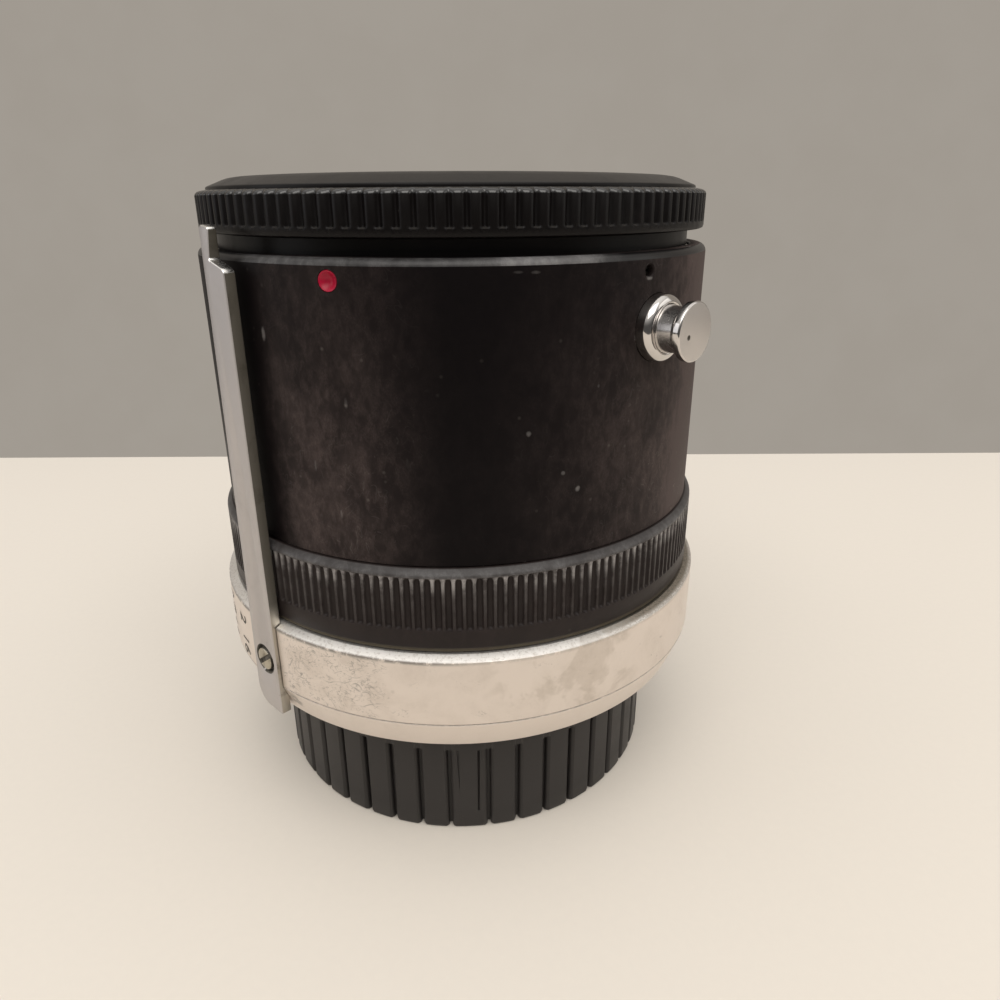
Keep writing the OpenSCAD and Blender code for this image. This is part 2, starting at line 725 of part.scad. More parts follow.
module front_cap() {
  pilot_z = mount_top - cap_pilot_h;
  ceiling = cap_top - cap_top_t;
  core_r = rim_r - 2 * cap_rib_d;
  shoulder_in = rim_r - shoulder_w;
  disc_r = shoulder_in - disc_set;
  crown_r = disc_r - disc_edge_w;
  color("#161515") difference() {
    union() {
      rotate_extrude() polygon([
        [0, ceiling], [cap_hollow_r, ceiling], [cap_hollow_r, pilot_z], [cap_pilot_r, pilot_z],
        [cap_pilot_r, mount_top], [neck_r, mount_top], [neck_r, lip_z],
        [rim_r - cap_chamfer, lip_z], [rim_r, lip_z + cap_chamfer], [rim_r, rib_z], [core_r, rib_z],
        [core_r, rib_top], [rim_r, rib_top], [rim_r, rib_top + rib_land], [shoulder_in, shoulder_top],
        [shoulder_in, shoulder_top - disc_step_d], [disc_r, shoulder_top - disc_step_d],
        [disc_r, shoulder_top], [crown_r, shoulder_top + disc_edge_h],
        [crown_r - crown_w, cap_top], [0, cap_top]]);
      translate([0, 0, rib_z - rib_land / 2]) linear_extrude(rib_h + rib_land) difference() {
        rib_outline(rim_r - rib_set, cap_rib_d, cap_ribs, cap_rib_crest, cap_rib_flank);
        circle(r = core_r - cap_rib_d);
      }
      for (i = [0 : lugs - 1])
        arc_ring(cap_pilot_r - cap_pilot_wall / 2, cap_lug_r, pilot_z + lug_set,
          pilot_z + lug_set + cap_lug_t, tab_az + 180 / lugs + i * 360 / lugs, lug_angle);
    }
    at_azimuth(button_az) translate([lock_u, lock_offset, mount_top - past])
      cylinder(r = lock_pin_r + side_gap, h = lock_pin_rise + side_gap + past);
  }
}

module body_tube() {
  edge = [body_r - body_edge, tube_top - body_edge];
  color("#1f1c1d") difference() {
    rotate_extrude() polygon(concat(
      [[tube_bore, tube_z], [body_r, tube_z]], arc_points(edge, body_edge, 0, 90), [[tube_bore, tube_top]]));
    radial(button_az, button_z) {
      translate([0, 0, tube_bore - past]) cylinder(r = collar_hole_r + seat_gap, h = body_wall + 2 * past);
      translate([0, 0, spot_u]) cylinder(r = collar_r + seat_gap, h = past);
    }
    radial(dot_az, tube_top - dot_drop)
      translate([0, 0, body_r - dot_t]) cylinder(r = dot_r + seat_gap, h = dot_t + past);
    for (i = [0 : set_screws - 1])
      radial(set_screw_az + i * 360 / set_screws, tube_top - set_screw_drop)
        translate([0, 0, tube_bore - past]) cylinder(r = set_screw_r + seat_gap, h = body_wall + 2 * past);
  }
}

module chassis() {
  stop_az = ear_az + spring_arc + asin(ear_w / spring_r);
  slot_rim = asin((lever_w / 2 + side_gap) / lever_in);
  color("#242223") difference() {
    union() {
      ring(lower_r, chassis_r, chassis_z, web_z);
      ring(cell_r + seat_gap, chassis_r, web_z, web_top);
      ring(chamber_r, chassis_r, web_top, top_flange_z);
      ring(baffle_out + seat_gap, chassis_r, top_flange_z, mount_z);
      at_azimuth(stop_az) translate([transfer_r + 2 * side_gap, -ear_w / 2, transfer_z])
        cube([ear_reach - 2 * side_gap, ear_w, web_z - transfer_z + web_t / 2]);
    }
    translate([0, 0, mount_z - baffle_flange_t])
      cylinder(r = baffle_flange_r + seat_gap, h = baffle_flange_t + past);
    arc_ring(lever_in - side_gap, transfer_r + 2 * side_gap, web_z - past, web_top + past,
      front_lever_az + transfer_turn / 2, transfer_turn + 2 * slot_rim);
    radial(button_az, button_z) cylinder(r = collar_hole_r + seat_gap, h = chassis_r + past);
    at_azimuth(button_az) translate([lock_u, lock_offset, top_flange_z - past])
      cylinder(r = lock_pin_r + run_gap, h = top_flange_t + 2 * past);
    around(screws, mount_screw_az) at_azimuth(0)
      translate([mount_screw_pcd, 0, mount_top - mount_screw_h - seat_gap])
        cylinder(r = mount_screw_r + seat_gap, h = mount_screw_h);
    around(screws, rear_screw_az) at_azimuth(0) translate([rear_screw_pcd, 0, chassis_z - past])
      cylinder(r = rear_screw_r + seat_gap, h = rear_screw_h - flange_t + seat_gap + past);
  }
}

module front_mount() {
  color("#c9c6c1") difference() {
    union() {
      ring(recess_r, chassis_r, mount_z, mount_top);
      for (i = [0 : lugs - 1])
        arc_ring(throat_r, recess_r + lock_web / 2, recess_top, mount_top,
          tab_az + i * 360 / lugs, tab_angle);
    }
    around(screws, mount_screw_az) at_azimuth(0) translate([mount_screw_pcd, 0, mount_top - seat_gap])
      countersunk_hole(mount_screw_r, mount_head_r, mount_screw_h);
    at_azimuth(button_az) translate([lock_u, lock_offset, mount_z - past])
      cylinder(r = lock_pin_r + run_gap, h = mount_t + 2 * past);
    for (i = [0 : set_screws - 1])
      radial(set_screw_az + i * 360 / set_screws, tube_top - set_screw_drop)
        translate([0, 0, body_r - set_screw_sink - set_screw_l - seat_gap])
          cylinder(r = set_screw_r + seat_gap, h = body_r);
  }
}

module front_mount_screws() {
  color("#8f8d8a") around(screws, mount_screw_az) at_azimuth(0)
    translate([mount_screw_pcd, 0, mount_top - seat_gap])
      countersunk(mount_screw_r, mount_head_r, mount_screw_h - seat_gap);
}

module mount_springs() {
  color("#a8a49a") for (i = [0 : lugs - 1])
    arc_ring(leaf_r - leaf_w / 2, leaf_r + leaf_w / 2, mount_z, mount_z + leaf_t,
      tab_az + i * 360 / lugs, tab_angle - 2 * lug_t);
}

module throat_baffle() {
  color("#1a1919") union() {
    ring(baffle_r, baffle_out, mount_z - baffle_h, mount_z);
    ring(baffle_r, baffle_flange_r, mount_z - baffle_flange_t, mount_z);
  }
}

module rear_mount() {
  lug_z = flange_z - pilot_h + lug_set;
  color("#c9c6c1") difference() {
    union() {
      rotate_extrude() polygon([
        [rear_throat_r, flange_z - pilot_h], [pilot_r, flange_z - pilot_h], [pilot_r, flange_z],
        [flange_r, flange_z], [flange_r, chassis_z], [rear_throat_r, chassis_z]]);
      for (i = [0 : lugs - 1])
        arc_ring(rear_throat_r + pilot_wall / 2, lug_r, lug_z, lug_z + lug_t,
          rear_lug_az + i * 360 / lugs, lug_angle);
    }
    around(screws, rear_screw_az) at_azimuth(0) translate([rear_screw_pcd, 0, flange_z + seat_gap])
      rotate([180, 0, 0]) countersunk_hole(rear_screw_r, rear_head_r, rear_screw_h);
    at_azimuth(lock_hole_az) translate([rear_screw_pcd - lower_wall / 2, 0, flange_z - past])
      cylinder(r = lock_hole_r, h = lock_hole_h + past);
  }
}

module rear_mount_screws() {
  color("#8f8d8a") around(screws, rear_screw_az) at_azimuth(0)
    translate([rear_screw_pcd, 0, flange_z + seat_gap]) rotate([180, 0, 0])
      countersunk(rear_screw_r, rear_head_r, rear_screw_h - seat_gap);
}

module coupling_ring() {
  line_z = ring_z + foot_h;
  color("#cfc8bb") difference() {
    rotate_extrude() polygon([
      [ring_bore, ring_z], [foot_r, ring_z], [ring_r, line_z - ring_line_w],
      [ring_r - ring_line_d, line_z - ring_line_w / 2], [ring_r, line_z],
      [ring_r, grip_z - ring_chamfer_h], [grip_r, grip_z], [sleeve_r, grip_z],
      [sleeve_r, grip_top - end_gap], [ring_bore, grip_top - end_gap]]);
    translate([0, 0, ring_z - past])
      cylinder(r = flange_r + side_gap, h = chassis_z - ring_z + end_gap + past);
    plate(arm_az, arm_in, ring_r) translate([-arm_w / 2 - seat_gap, ring_z - past])
      square([arm_w + 2 * seat_gap, ring_h + 2 * past]);
    radial(arm_az, arm_screw_z) translate([0, 0, arm_screw_in - seat_gap])
      cylinder(r = arm_screw_r + seat_gap, h = ring_r);
  }
}

module grip_ring() {
  band_top = grip_z + grip_neck_h + grip_band_h;
  ribs_top = grip_top - grip_chamfer;
  color("#201e1e") union() {
    rotate_extrude() polygon([
      [grip_bore, grip_z], [grip_r - grip_neck_d, grip_z], [grip_r - grip_neck_d, grip_z + grip_neck_h],
      [grip_r, grip_z + grip_neck_h], [grip_r, band_top], [grip_bore, band_top]]);
    translate([0, 0, band_top]) linear_extrude(ribs_top - band_top) difference() {
      rib_outline(grip_r - rib_set, grip_rib_d, grip_ribs, rib_crest, rib_flank);
      circle(r = grip_bore);
    }
    rotate_extrude() polygon([
      [grip_bore, ribs_top], [grip_r, ribs_top], [grip_r - grip_chamfer, grip_top], [grip_bore, grip_top]]);
  }
}

// Outline of the arm, sideways from its middle and upwards
module arm_outline() {
  left = -arm_w / 2;
  shoulder_z = tube_top + arm_shoulder;
  finger_z = tube_top + finger_rise;
  difference() {
    union() {
      translate([left, ring_z]) square([arm_w, shoulder_z - ring_z]);
      translate([left, ring_z]) square([finger_w, finger_z - ring_z]);
    }
    difference() {
      translate([left - past, ring_z - past]) square(arm_corner_r + past);
      translate([left + arm_corner_r, ring_z + arm_corner_r]) circle(r = arm_corner_r);
    }
    difference() {
      translate([-left - shoulder_r, shoulder_z - shoulder_r]) square(shoulder_r + past);
      translate([-left - shoulder_r, shoulder_z - shoulder_r]) circle(r = shoulder_r);
    }
  }
}

module coupling_arm() {
  color("#c4bfba") difference() {
    plate(arm_az, arm_in, arm_t) arm_outline();
    radial(arm_az, arm_screw_z) {
      cylinder(r = arm_screw_r + seat_gap, h = arm_in + arm_t + past);
      translate([0, 0, arm_head_u]) cylinder(r = arm_head_r + 2 * seat_gap, h = arm_t);
    }
  }
}

module arm_screw() {
  color("#a9a39a") radial(arm_az, arm_screw_z) difference() {
    union() {
      translate([0, 0, arm_screw_in]) cylinder(r = arm_screw_r, h = arm_head_u - arm_screw_in);
      translate([0, 0, arm_head_u]) cylinder(r = arm_head_r, h = arm_head_sink + arm_head_rise);
    }
    rotate([0, 0, -slot_angle])
      translate([-slot_w / 2, -arm_head_r - past, arm_head_u + arm_head_sink + arm_head_rise - slot_d])
        cube([slot_w, 2 * arm_head_r + 2 * past, slot_d + past]);
  }
}

module release_button() {
  fillet = [waist_r + waist_fillet, head_u - waist_fillet];
  edge = [head_r - head_edge, face_u - head_edge];
  color("#d6d4d1") radial(button_az, button_z) difference() {
    rotate_extrude() polygon(concat(
      [[0, tip_u - shaft_r], [shaft_r, tip_u - shaft_r], [shaft_r, waist_end_u], [waist_r, waist_end_u]],
      arc_points(fillet, waist_fillet, 180, 90), [[head_r, head_u]],
      arc_points(edge, head_edge, 0, 90), [[0, face_u]]));
    translate([0, 0, face_u - dimple_r]) cylinder(r1 = 0, r2 = 2 * dimple_r, h = 2 * dimple_r);
    rotate([90, 0, 0]) translate([0, 0, -2 * shaft_r]) linear_extrude(4 * shaft_r)
      polygon([[-2 * shaft_r, tip_u - 2 * shaft_r], [2 * shaft_r, tip_u - 2 * shaft_r],
        [2 * shaft_r, tip_u + 2 * shaft_r]]);
    ring(shaft_r - button_clip_w / 2, 2 * shaft_r, clip_u, clip_u + button_clip_t);
  }
}

module button_collar() {
  edge = [collar_r - collar_edge, collar_top_u - collar_edge];
  bore_r = shaft_r + run_gap;
  neck_bore_r = waist_r + run_gap;
  color("#d6d4d1") radial(button_az, button_z) rotate_extrude() polygon(concat(
    [[bore_r, collar_end_u], [collar_hole_r, collar_end_u], [collar_hole_r, spot_u], [collar_r, spot_u]],
    arc_points(edge, collar_edge, 0, 90),
    [[neck_bore_r, collar_top_u], [neck_bore_r, collar_floor_u], [bore_r, collar_floor_u]]));
}

module button_clip() {
  color("#8f8d8a") radial(button_az, button_z)
    ring(shaft_r - button_clip_w / 2, shaft_r + button_clip_w, clip_u, clip_u + button_clip_t);
}

module lock_pin() {
  cam_top = top_flange_z - side_gap;
  color("#b7b3ad") at_azimuth(button_az) union() {
    translate([0, cam_split, 0]) rotate([90, 0, 0]) linear_extrude(cam_split + shaft_r + side_gap)
      polygon([[cam_in, cam_z], [cam_out, cam_z], [cam_out, cam_sum - cam_out],
        [max(cam_in, cam_sum - cam_top), min(cam_top, cam_sum - cam_in)],
        [cam_in, min(cam_top, cam_sum - cam_in)]]);
    translate([cam_in, cam_split, cam_z]) cube([cam_depth, cam_side - cam_split, cam_step_z - cam_z]);
    translate([lock_u, lock_offset, cam_z]) cylinder(r = lock_pin_r, h = mount_top + lock_pin_rise - cam_z);
    translate([lock_u, lock_offset, cam_z - guide_h]) cylinder(r = guide_r, h = guide_h);
  }
}

module lock_spring() {
  color("#9a978f") at_azimuth(button_az) translate([lock_u, lock_offset, web_top + seat_gap])
    coil(lock_coil_r, lock_turns, cam_z - web_top - 2 * seat_gap);
}

module index_dot() {
  color("#b3283f") radial(dot_az, tube_top - dot_drop)
    translate([0, 0, body_r - dot_t]) cylinder(r = dot_r, h = dot_t);
}

module tube_set_screws() {
  color("#55524f") for (i = [0 : set_screws - 1])
    radial(set_screw_az + i * 360 / set_screws, tube_top - set_screw_drop)
      translate([0, 0, body_r - set_screw_sink - set_screw_l]) difference() {
        cylinder(r = set_screw_r, h = set_screw_l);
        translate([-slot_w / 4, -past, set_screw_l - slot_d]) cube([slot_w / 2, 2 * past, slot_d + past]);
      }
}

module lens_cell() {
  color("#222021") difference() {
    union() {
      ring(cell_bore, cell_r, cell_z, cell_top);
      ring(seat_r, cell_r, septum_z, lens_2_z);
      ring(cell_bore, collar_out, web_top, web_top + collar_t);
    }
    ring(cell_r - clip_groove, cell_r + past, clip_z, clip_z + clip_t);
  }
}

module cell_lock_ring() {
  color("#2a2829") ring(cell_r + seat_gap, collar_out, lock_ring_z, web_z);
}

module lens_1() {
  color("#b9d3df") difference() {
    union() {
      glass(lens_1_z, front_retainer_z);
      dome(front_retainer_z, lens_1_top);
    }
    dish(lens_1_z, lens_1_back, -1);
  }
}

module lens_2() {
  color("#bcd6df") union() {
    glass(lens_2_z, front_spacer_z);
    dome(front_spacer_z, lens_2_top);
    mirror([0, 0, 1]) dome(-lens_2_z, lens_2_back);
  }
}

module lens_3() {
  color("#c3d8dc") difference() {
    glass(lens_3_z, septum_z);
    dish(septum_z, lens_3_top, 1);
    dish(lens_3_z, cement_face_r, -1);
  }
}

module lens_4() {
  color("#b5cfda") union() {
    glass(lens_4_z, lens_3_z);
    intersection() {
      translate([0, 0, -cement_t]) dome(lens_3_z, cement_face_r);
      translate([0, 0, lens_4_z]) cylinder(r = clear_r, h = cement_face_r);
    }
    mirror([0, 0, 1]) dome(-lens_4_z, lens_4_back);
  }
}

module lens_5() {
  color("#b9d3df") difference() {
    union() {
      glass(lens_5_z, rear_spacer_z);
      mirror([0, 0, 1]) dome(-lens_5_z, lens_5_back);
    }
    dish(rear_spacer_z, lens_5_top, 1);
  }
}

module front_spacer() {
  color("#1d1c1c") ring(seat_r, glass_r, front_spacer_z, lens_1_z);
}

module rear_spacer() {
  color("#1d1c1c") ring(seat_r, glass_r, rear_spacer_z, lens_4_z);
}

module front_retainer() {
  color("#1d1c1c") ring(seat_r, glass_r, front_retainer_z, front_retainer_z + retainer_t);
}

module rear_retainer() {
  color("#1d1c1c") ring(seat_r, glass_r, rear_retainer_z, lens_5_z);
}

// Flat and screw hole that seat a lever on the transfer ring
module lever_seat(azimuth) {
  plate(azimuth, lever_in, past + lever_t) translate([-lever_w / 2 - seat_gap, transfer_z - past])
    square([lever_w + 2 * seat_gap, transfer_h + 2 * past]);
  radial(azimuth, transfer_z + transfer_h / 2) cylinder(r = lever_screw_r + seat_gap, h = transfer_r);
}

module transfer_ring() {
  color("#b9a679") difference() {
    union() {
      ring(transfer_bore, transfer_r, transfer_z, transfer_top);
      at_azimuth(ear_az) translate([transfer_bore + transfer_wall / 2, -ear_w / 2, transfer_z])
        cube([ear_r - transfer_bore - transfer_wall / 2, ear_w, transfer_h]);
    }
    lever_seat(front_lever_az);
    lever_seat(rear_lever_az);
  }
}

module transfer_clip() {
  color("#9a978f") ring(cell_r - clip_groove + seat_gap, clip_out, clip_z, clip_z + clip_t);
}

// Lever standing on the transfer ring's flat between two heights
module lever(azimuth, low, high) {
  difference() {
    plate(azimuth, lever_in, lever_t) translate([-lever_w / 2, low]) square([lever_w, high - low]);
    radial(azimuth, transfer_z + transfer_h / 2)
      cylinder(r = lever_screw_r + seat_gap, h = transfer_r + past);
  }
}

module front_lever() {
  color("#c4bfb4") lever(front_lever_az, transfer_z, front_lever_top);
}

module rear_lever() {
  color("#c4bfb4") lever(rear_lever_az, rear_lever_z, transfer_top);
}

module lever_screws() {
  color("#8f8d8a") for (azimuth = [front_lever_az, rear_lever_az])
    radial(azimuth, transfer_z + transfer_h / 2) {
      translate([0, 0, transfer_bore + seat_gap]) cylinder(r = lever_screw_r, h = transfer_wall - seat_gap);
      translate([0, 0, transfer_r]) cylinder(r = lever_head_r, h = lever_head_t);
    }
}

module return_spring() {
  middle_az = ear_az + spring_arc / 2 + asin(ear_w / 2 / spring_r);
  half = spring_arc / 2;
  lean = half + asin(ear_w / 2 / spring_r);
  length = 2 * spring_axis * tan(half) - 2 * ((return_coil_r + wire_r) * tan(lean) + seat_gap);
  color("#9a978f") rotate([0, 0, middle_az])
    translate([-length / 2, -spring_axis, transfer_z + transfer_h / 2]) rotate([0, 90, 0])
      coil(return_coil_r, return_turns, length);
}

rear_cap();
front_cap();
body_tube();
chassis();
front_mount();
front_mount_screws();
mount_springs();
throat_baffle();
rear_mount();
rear_mount_screws();
coupling_ring();
grip_ring();
coupling_arm();
arm_screw();
release_button();
button_collar();
button_clip();
lock_pin();
lock_spring();
index_dot();
tube_set_screws();
lens_cell();
cell_lock_ring();
lens_1();
lens_2();
lens_3();
lens_4();
lens_5();
front_spacer();
rear_spacer();
front_retainer();
rear_retainer();
transfer_ring();
transfer_clip();
front_lever();
rear_lever();
lever_screws();
return_spring();
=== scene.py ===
"""Looks of a camera teleconverter that stands on its rear cap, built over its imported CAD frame."""

import json
import math

import bmesh
import bpy
from bpy.props import FloatProperty, FloatVectorProperty, IntProperty, PointerProperty
from mathutils import Matrix, Vector


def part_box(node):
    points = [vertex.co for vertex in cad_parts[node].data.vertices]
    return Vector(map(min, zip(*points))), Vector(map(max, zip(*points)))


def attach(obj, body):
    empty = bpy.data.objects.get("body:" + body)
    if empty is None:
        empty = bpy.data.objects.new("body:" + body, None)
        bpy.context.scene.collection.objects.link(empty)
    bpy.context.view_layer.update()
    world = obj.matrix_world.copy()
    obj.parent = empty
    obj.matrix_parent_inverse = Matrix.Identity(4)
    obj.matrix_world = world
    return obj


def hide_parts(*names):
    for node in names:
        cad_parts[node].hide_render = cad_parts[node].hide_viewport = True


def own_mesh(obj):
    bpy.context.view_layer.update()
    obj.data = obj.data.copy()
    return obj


bl_info = {
    "name": "Teleconverter Looks",
    "version": (1, 0, 0),
    "blender": (4, 5, 0),
    "location": "3D View > Sidebar > Converter",
    "description": "Builds the visible pieces of a camera teleconverter over its CAD frame",
    "category": "Object",
}

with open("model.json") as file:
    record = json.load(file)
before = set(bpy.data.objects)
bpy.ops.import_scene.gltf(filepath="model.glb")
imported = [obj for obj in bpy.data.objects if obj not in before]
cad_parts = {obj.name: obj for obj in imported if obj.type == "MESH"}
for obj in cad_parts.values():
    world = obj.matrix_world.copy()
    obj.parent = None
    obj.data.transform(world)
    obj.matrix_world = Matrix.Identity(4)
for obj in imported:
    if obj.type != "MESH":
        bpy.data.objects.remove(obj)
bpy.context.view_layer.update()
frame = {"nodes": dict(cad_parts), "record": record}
MM = 0.001
TURN = 2 * math.pi
WELD = 0.002 * MM


# Properties


def length(name, description, millimetres):
    """A length in metres, given in millimetres."""
    return FloatProperty(
        name=name, description=description, default=millimetres * MM, unit="LENGTH", precision=5
    )


def angle(name, description, degrees):
    """An angle in radians, given in degrees."""
    return FloatProperty(
        name=name, description=description, default=math.radians(degrees), unit="ROTATION"
    )


def colour(name, description, rgb):
    """A linear colour."""
    return FloatVectorProperty(
        name=name, description=description, default=rgb, size=3, subtype="COLOR", min=0, max=1
    )


class ConverterSizes(bpy.types.PropertyGroup):
    """Sizes of the visible pieces."""

    rear_cap_radius: length("Rear cap radius", "Outer radius of the rear cap", 26.85)
    rear_cap_top: length("Rear cap top", "Height of the rear cap's rim", 16.8)
    rear_cap_bore: length("Rear cap bore", "Inner radius of the rear cap", 25.0)
    flute_top: length("Flute top", "Height at which the rear cap's flutes end", 12.35)
    flutes: IntProperty(name="Flutes", description="Evenly spaced flutes", default=43, min=8)
    flute_depth: length("Flute depth", "Depth of a flute's slot", 0.85)
    index_land: angle("Index land", "Angle between the flutes beside the index lines", 10.73)
    index_azimuth: angle("Index azimuth", "Azimuth of the middle of the index land", 3.13)
    ring_radius: length("Coupling ring radius", "Outer radius of the silver ring", 32.85)
    ring_low: length("Coupling ring foot", "Height of the silver ring's lower edge", 17.16)
    ring_line: length("Coupling ring line", "Height of the turned line", 21.04)
    ring_high: length("Coupling ring top", "Height of the silver ring's shoulder", 29.6)
    grip_radius: length("Grip radius", "Outer radius of the grip ring", 31.8)
    grip_high: length("Grip top", "Height of the grip ring's upper edge", 39.66)
    grip_ribs: IntProperty(name="Grip ribs", description="Ribs round the grip", default=180, min=12)
    grip_depth: length("Grip rib depth", "Depth of the grooves between the ribs", 0.4)
    tube_radius: length("Tube radius", "Outer radius of the tube", 31.0)
    tube_bore: length("Tube bore", "Inner radius of the tube", 29.0)
    tube_low: length("Tube foot", "Height of the tube's lower edge", 39.76)
    tube_high: length("Tube top", "Height of the tube's upper edge", 70.65)
    tube_edge: length("Tube edge", "Rounding of the tube's upper edge", 0.9)
    cap_radius: length("Front cap radius", "Outer radius of the front cap", 30.5)
    cap_ribs: IntProperty(name="Front cap ribs", description="Ribs round the cap", default=120, min=12)
    cap_depth: length("Front cap rib depth", "Depth of the grooves between the ribs", 0.36)
    disc_radius: length("Front cap disc", "Radius of the raised disc", 29.28)
    arm_azimuth: angle("Arm azimuth", "Azimuth of the coupling arm", -43.6)
    arm_inside: length("Arm inside", "Distance of the arm's inner face from the axis", 32.05)
    arm_thickness: length("Arm thickness", "Thickness of the coupling arm", 1.27)
    arm_width: length("Arm width", "Width of the coupling arm", 5.0)
    button_azimuth: angle("Button azimuth", "Azimuth of the release button", 45.0)
    button_height: length("Button height", "Height of the button's axis", 63.05)
    dot_azimuth: angle("Dot azimuth", "Azimuth of the index dot", -19.75)
    dot_height: length("Dot height", "Height of the index dot", 68.57)
    set_screw_azimuth: angle("Set screw azimuth", "Azimuth of the set screw by the button", 41.77)
    set_screw_height: length("Set screw height", "Height of the set screws", 68.8)


class ConverterFinishes(bpy.types.PropertyGroup):
    """Colours of the finishes."""

    tube_black: colour("Tube black", "Anodised black of the tube", (0.004, 0.0031, 0.0035))
    # On the tube's right limb this brown is also laid on as a painted sheen.
    dust_and_sheen_brown: colour("Dust brown", "Dry smudges on the black pieces", (0.08, 0.06, 0.056))
    grip_black: colour("Grip black", "Anodised black of the grip", (0.018, 0.0138, 0.013))
    # Edge grey also paints the band along the tube's rounded upper edge, where it is a painted highlight.
    edge_grey: colour("Edge grey", "Rubbed edges of the black rings", (0.17, 0.165, 0.166))
    neck_brown: colour("Neck brown", "Dusty neck under the grip", (0.08, 0.068, 0.048))
    # On the grip's crests this pale metal is partly a painted highlight.
    worn_metal_and_highlight: colour("Worn metal", "Metal that shows at worn edges", (0.34, 0.32, 0.31))
    silver: colour("Silver", "Satin anodised aluminium", (0.775, 0.705, 0.65))
    stain: colour("Stain", "Stains and dirt on the silver ring", (0.42, 0.36, 0.3))
    dirt: colour("Dirt", "Dark dirt in scratches and corners", (0.05, 0.043, 0.032))
    chrome: colour("Chrome", "Satin chrome plate of the arm", (0.53, 0.505, 0.5))
    cap_gloss: colour("Front cap", "Black plastic", (0.0045, 0.0036, 0.0036))
    cap_satin: colour("Rear cap", "Dark satin plastic", (0.024, 0.0212, 0.0204))
    index_red: colour("Index red", "Red paint of the index dot", (0.36, 0.006, 0.032))
    floor: colour("Floor", "Pale floor", (0.73, 0.675, 0.605))
    backdrop: colour("Backdrop", "Plain backdrop", (0.352, 0.319, 0.279))


# Meshes: outlines and sections are in millimetres, the points of a mesh in metres


def polar(radius, azimuth, height):
    """A point at an azimuth that runs from -Y towards +X."""
    return (radius * math.sin(azimuth), -radius * math.cos(azimuth), height)


def radial_frame(azimuth, height):
    """Places a shape drawn as seen from outside: x sideways, y up, z out from the optical axis."""
    return Matrix((
        (math.cos(azimuth), 0, math.sin(azimuth), 0),
        (math.sin(azimuth), 0, -math.cos(azimuth), 0),
        (0, 1, 0, height),
        (0, 0, 0, 1),
    ))


def linked(name, data):
    """A new object in the scene."""
    made = bpy.data.objects.new(name, data)
    bpy.context.scene.collection.objects.link(made)
    return made


def mesh_object(name, points, faces):
    """An object made from points and faces."""
    mesh = bpy.data.meshes.new(name)
    mesh.from_pydata([tuple(p) for p in points], [], faces)
    mesh.update()
    return linked(name, mesh)


# Faces of a box whose corners are counted along z, then y, then x
BOX_SIDES = [(0, 1, 3, 2), (4, 6, 7, 5), (0, 4, 5, 1), (2, 3, 7, 6), (0, 2, 6, 4), (1, 5, 7, 3)]


def block(name, across, up, out):
    """A box between two values along each axis."""
    corners = [(x * MM, y * MM, z * MM) for x in across for y in up for z in out]
    return mesh_object(name, corners, BOX_SIDES)


def rounded(corners, steps=4):
    """A closed outline whose corners (x, y, radius) are rounded."""
    points = []
    count = len(corners)
    for i, (x, y, radius) in enumerate(corners):
        here = Vector((x, y))
        back = Vector(corners[i - 1][:2]) - here
        ahead = Vector(corners[(i + 1) % count][:2]) - here
        if radius <= 0 or back.length < 1e-6 or ahead.length < 1e-6:
            points.append(here)
            continue
        back_dir, ahead_dir = back.normalized(), ahead.normalized()
        half = back_dir.angle(ahead_dir) / 2
        run = min(radius / math.tan(half), 0.48 * back.length, 0.48 * ahead.length)
        radius = run * math.tan(half)
        centre = here + (back_dir + ahead_dir).normalized() * (radius / math.sin(half))
        start = here + back_dir * run - centre
        sweep = start.angle_signed(here + ahead_dir * run - centre)
        for k in range(steps + 1):
            turn = -sweep * k / steps
            points.append(centre + Matrix.Rotation(turn, 2) @ start)
    return [(p[0], p[1]) for p in points]


def arc(middle, radius, start, end, step):
    """Points of a round edge about its middle, from one angle to another in degrees."""
    last = end + math.copysign(1, step)
    turns = [math.radians(a) for a in range(start, int(last), step)]
    return [(middle[0] + radius * math.cos(t), middle[1] + radius * math.sin(t)) for t in turns]


def lathe(name, outline, segments=256, closed=True):
    """Turns an outline of (radius, height) about Z. An open outline starts and ends on the axis."""
    points, rings = [], []
    for radius, height in outline:
        if radius < 1e-4:
            rings.append([len(points)])
            points.append((0, 0, height * MM))
        else:
            first = len(points)
            rings.append(list(range(first, first + segments)))
            for k in range(segments):
                points.append(polar(radius * MM, TURN * k / segments, height * MM))
    faces = []
    pairs = list(zip(rings, rings[1:]))
    if closed:
        pairs.append((rings[-1], rings[0]))
    for low, high in pairs:
        for k in range(segments):
            n = (k + 1) % segments
            if len(low) == 1 and len(high) == 1:
                continue
            if len(low) == 1:
                faces.append((low[0], high[n], high[k]))
            elif len(high) == 1:
                faces.append((low[k], low[n], high[0]))
            else:
                faces.append((low[k], low[n], high[n], high[k]))
    return mesh_object(name, points, faces)


def drill(name, radius, low, high, segments):
    """A round bar along Z that cuts a hole."""
    outline = rounded([(0, low, 0), (radius, low, 0), (radius, high, 0), (0, high, 0)])
    return lathe(name, outline, segments, False)


def sector(name, azimuths, section):
    """A strip of skin: section(azimuth) gives as many (radius, height, and any shift) at each azimuth."""
    points, faces, rows = [], [], 0
    for azimuth in azimuths:
        column = section(azimuth)
        rows = len(column)
        points += [polar(r * MM, azimuth + sum(shift), z * MM) for r, z, *shift in column]
    for i in range(len(azimuths) - 1):
        for j in range(rows - 1):
            a, b = i * rows + j, (i + 1) * rows + j
            faces.append((a, b, b + 1, a + 1))
    return mesh_object(name, points, faces)


def both_ways(steps):
    """Steps to both sides of zero."""
    return [-x for x in reversed(steps)] + [0.0] + steps


def bayonet_tabs(name, outline):
    """Three tabs with the outline as their section, evenly round the axis."""
    span, parts = 54, 24
    made = []
    for k in range(3):
        middle = math.radians(60 + 120 * k)
        azimuths = [middle + math.radians(span * i / parts - span / 2) for i in range(parts + 1)]
        made.append(close(sector(name, azimuths, lambda a: outline + outline[:1])))
    return made


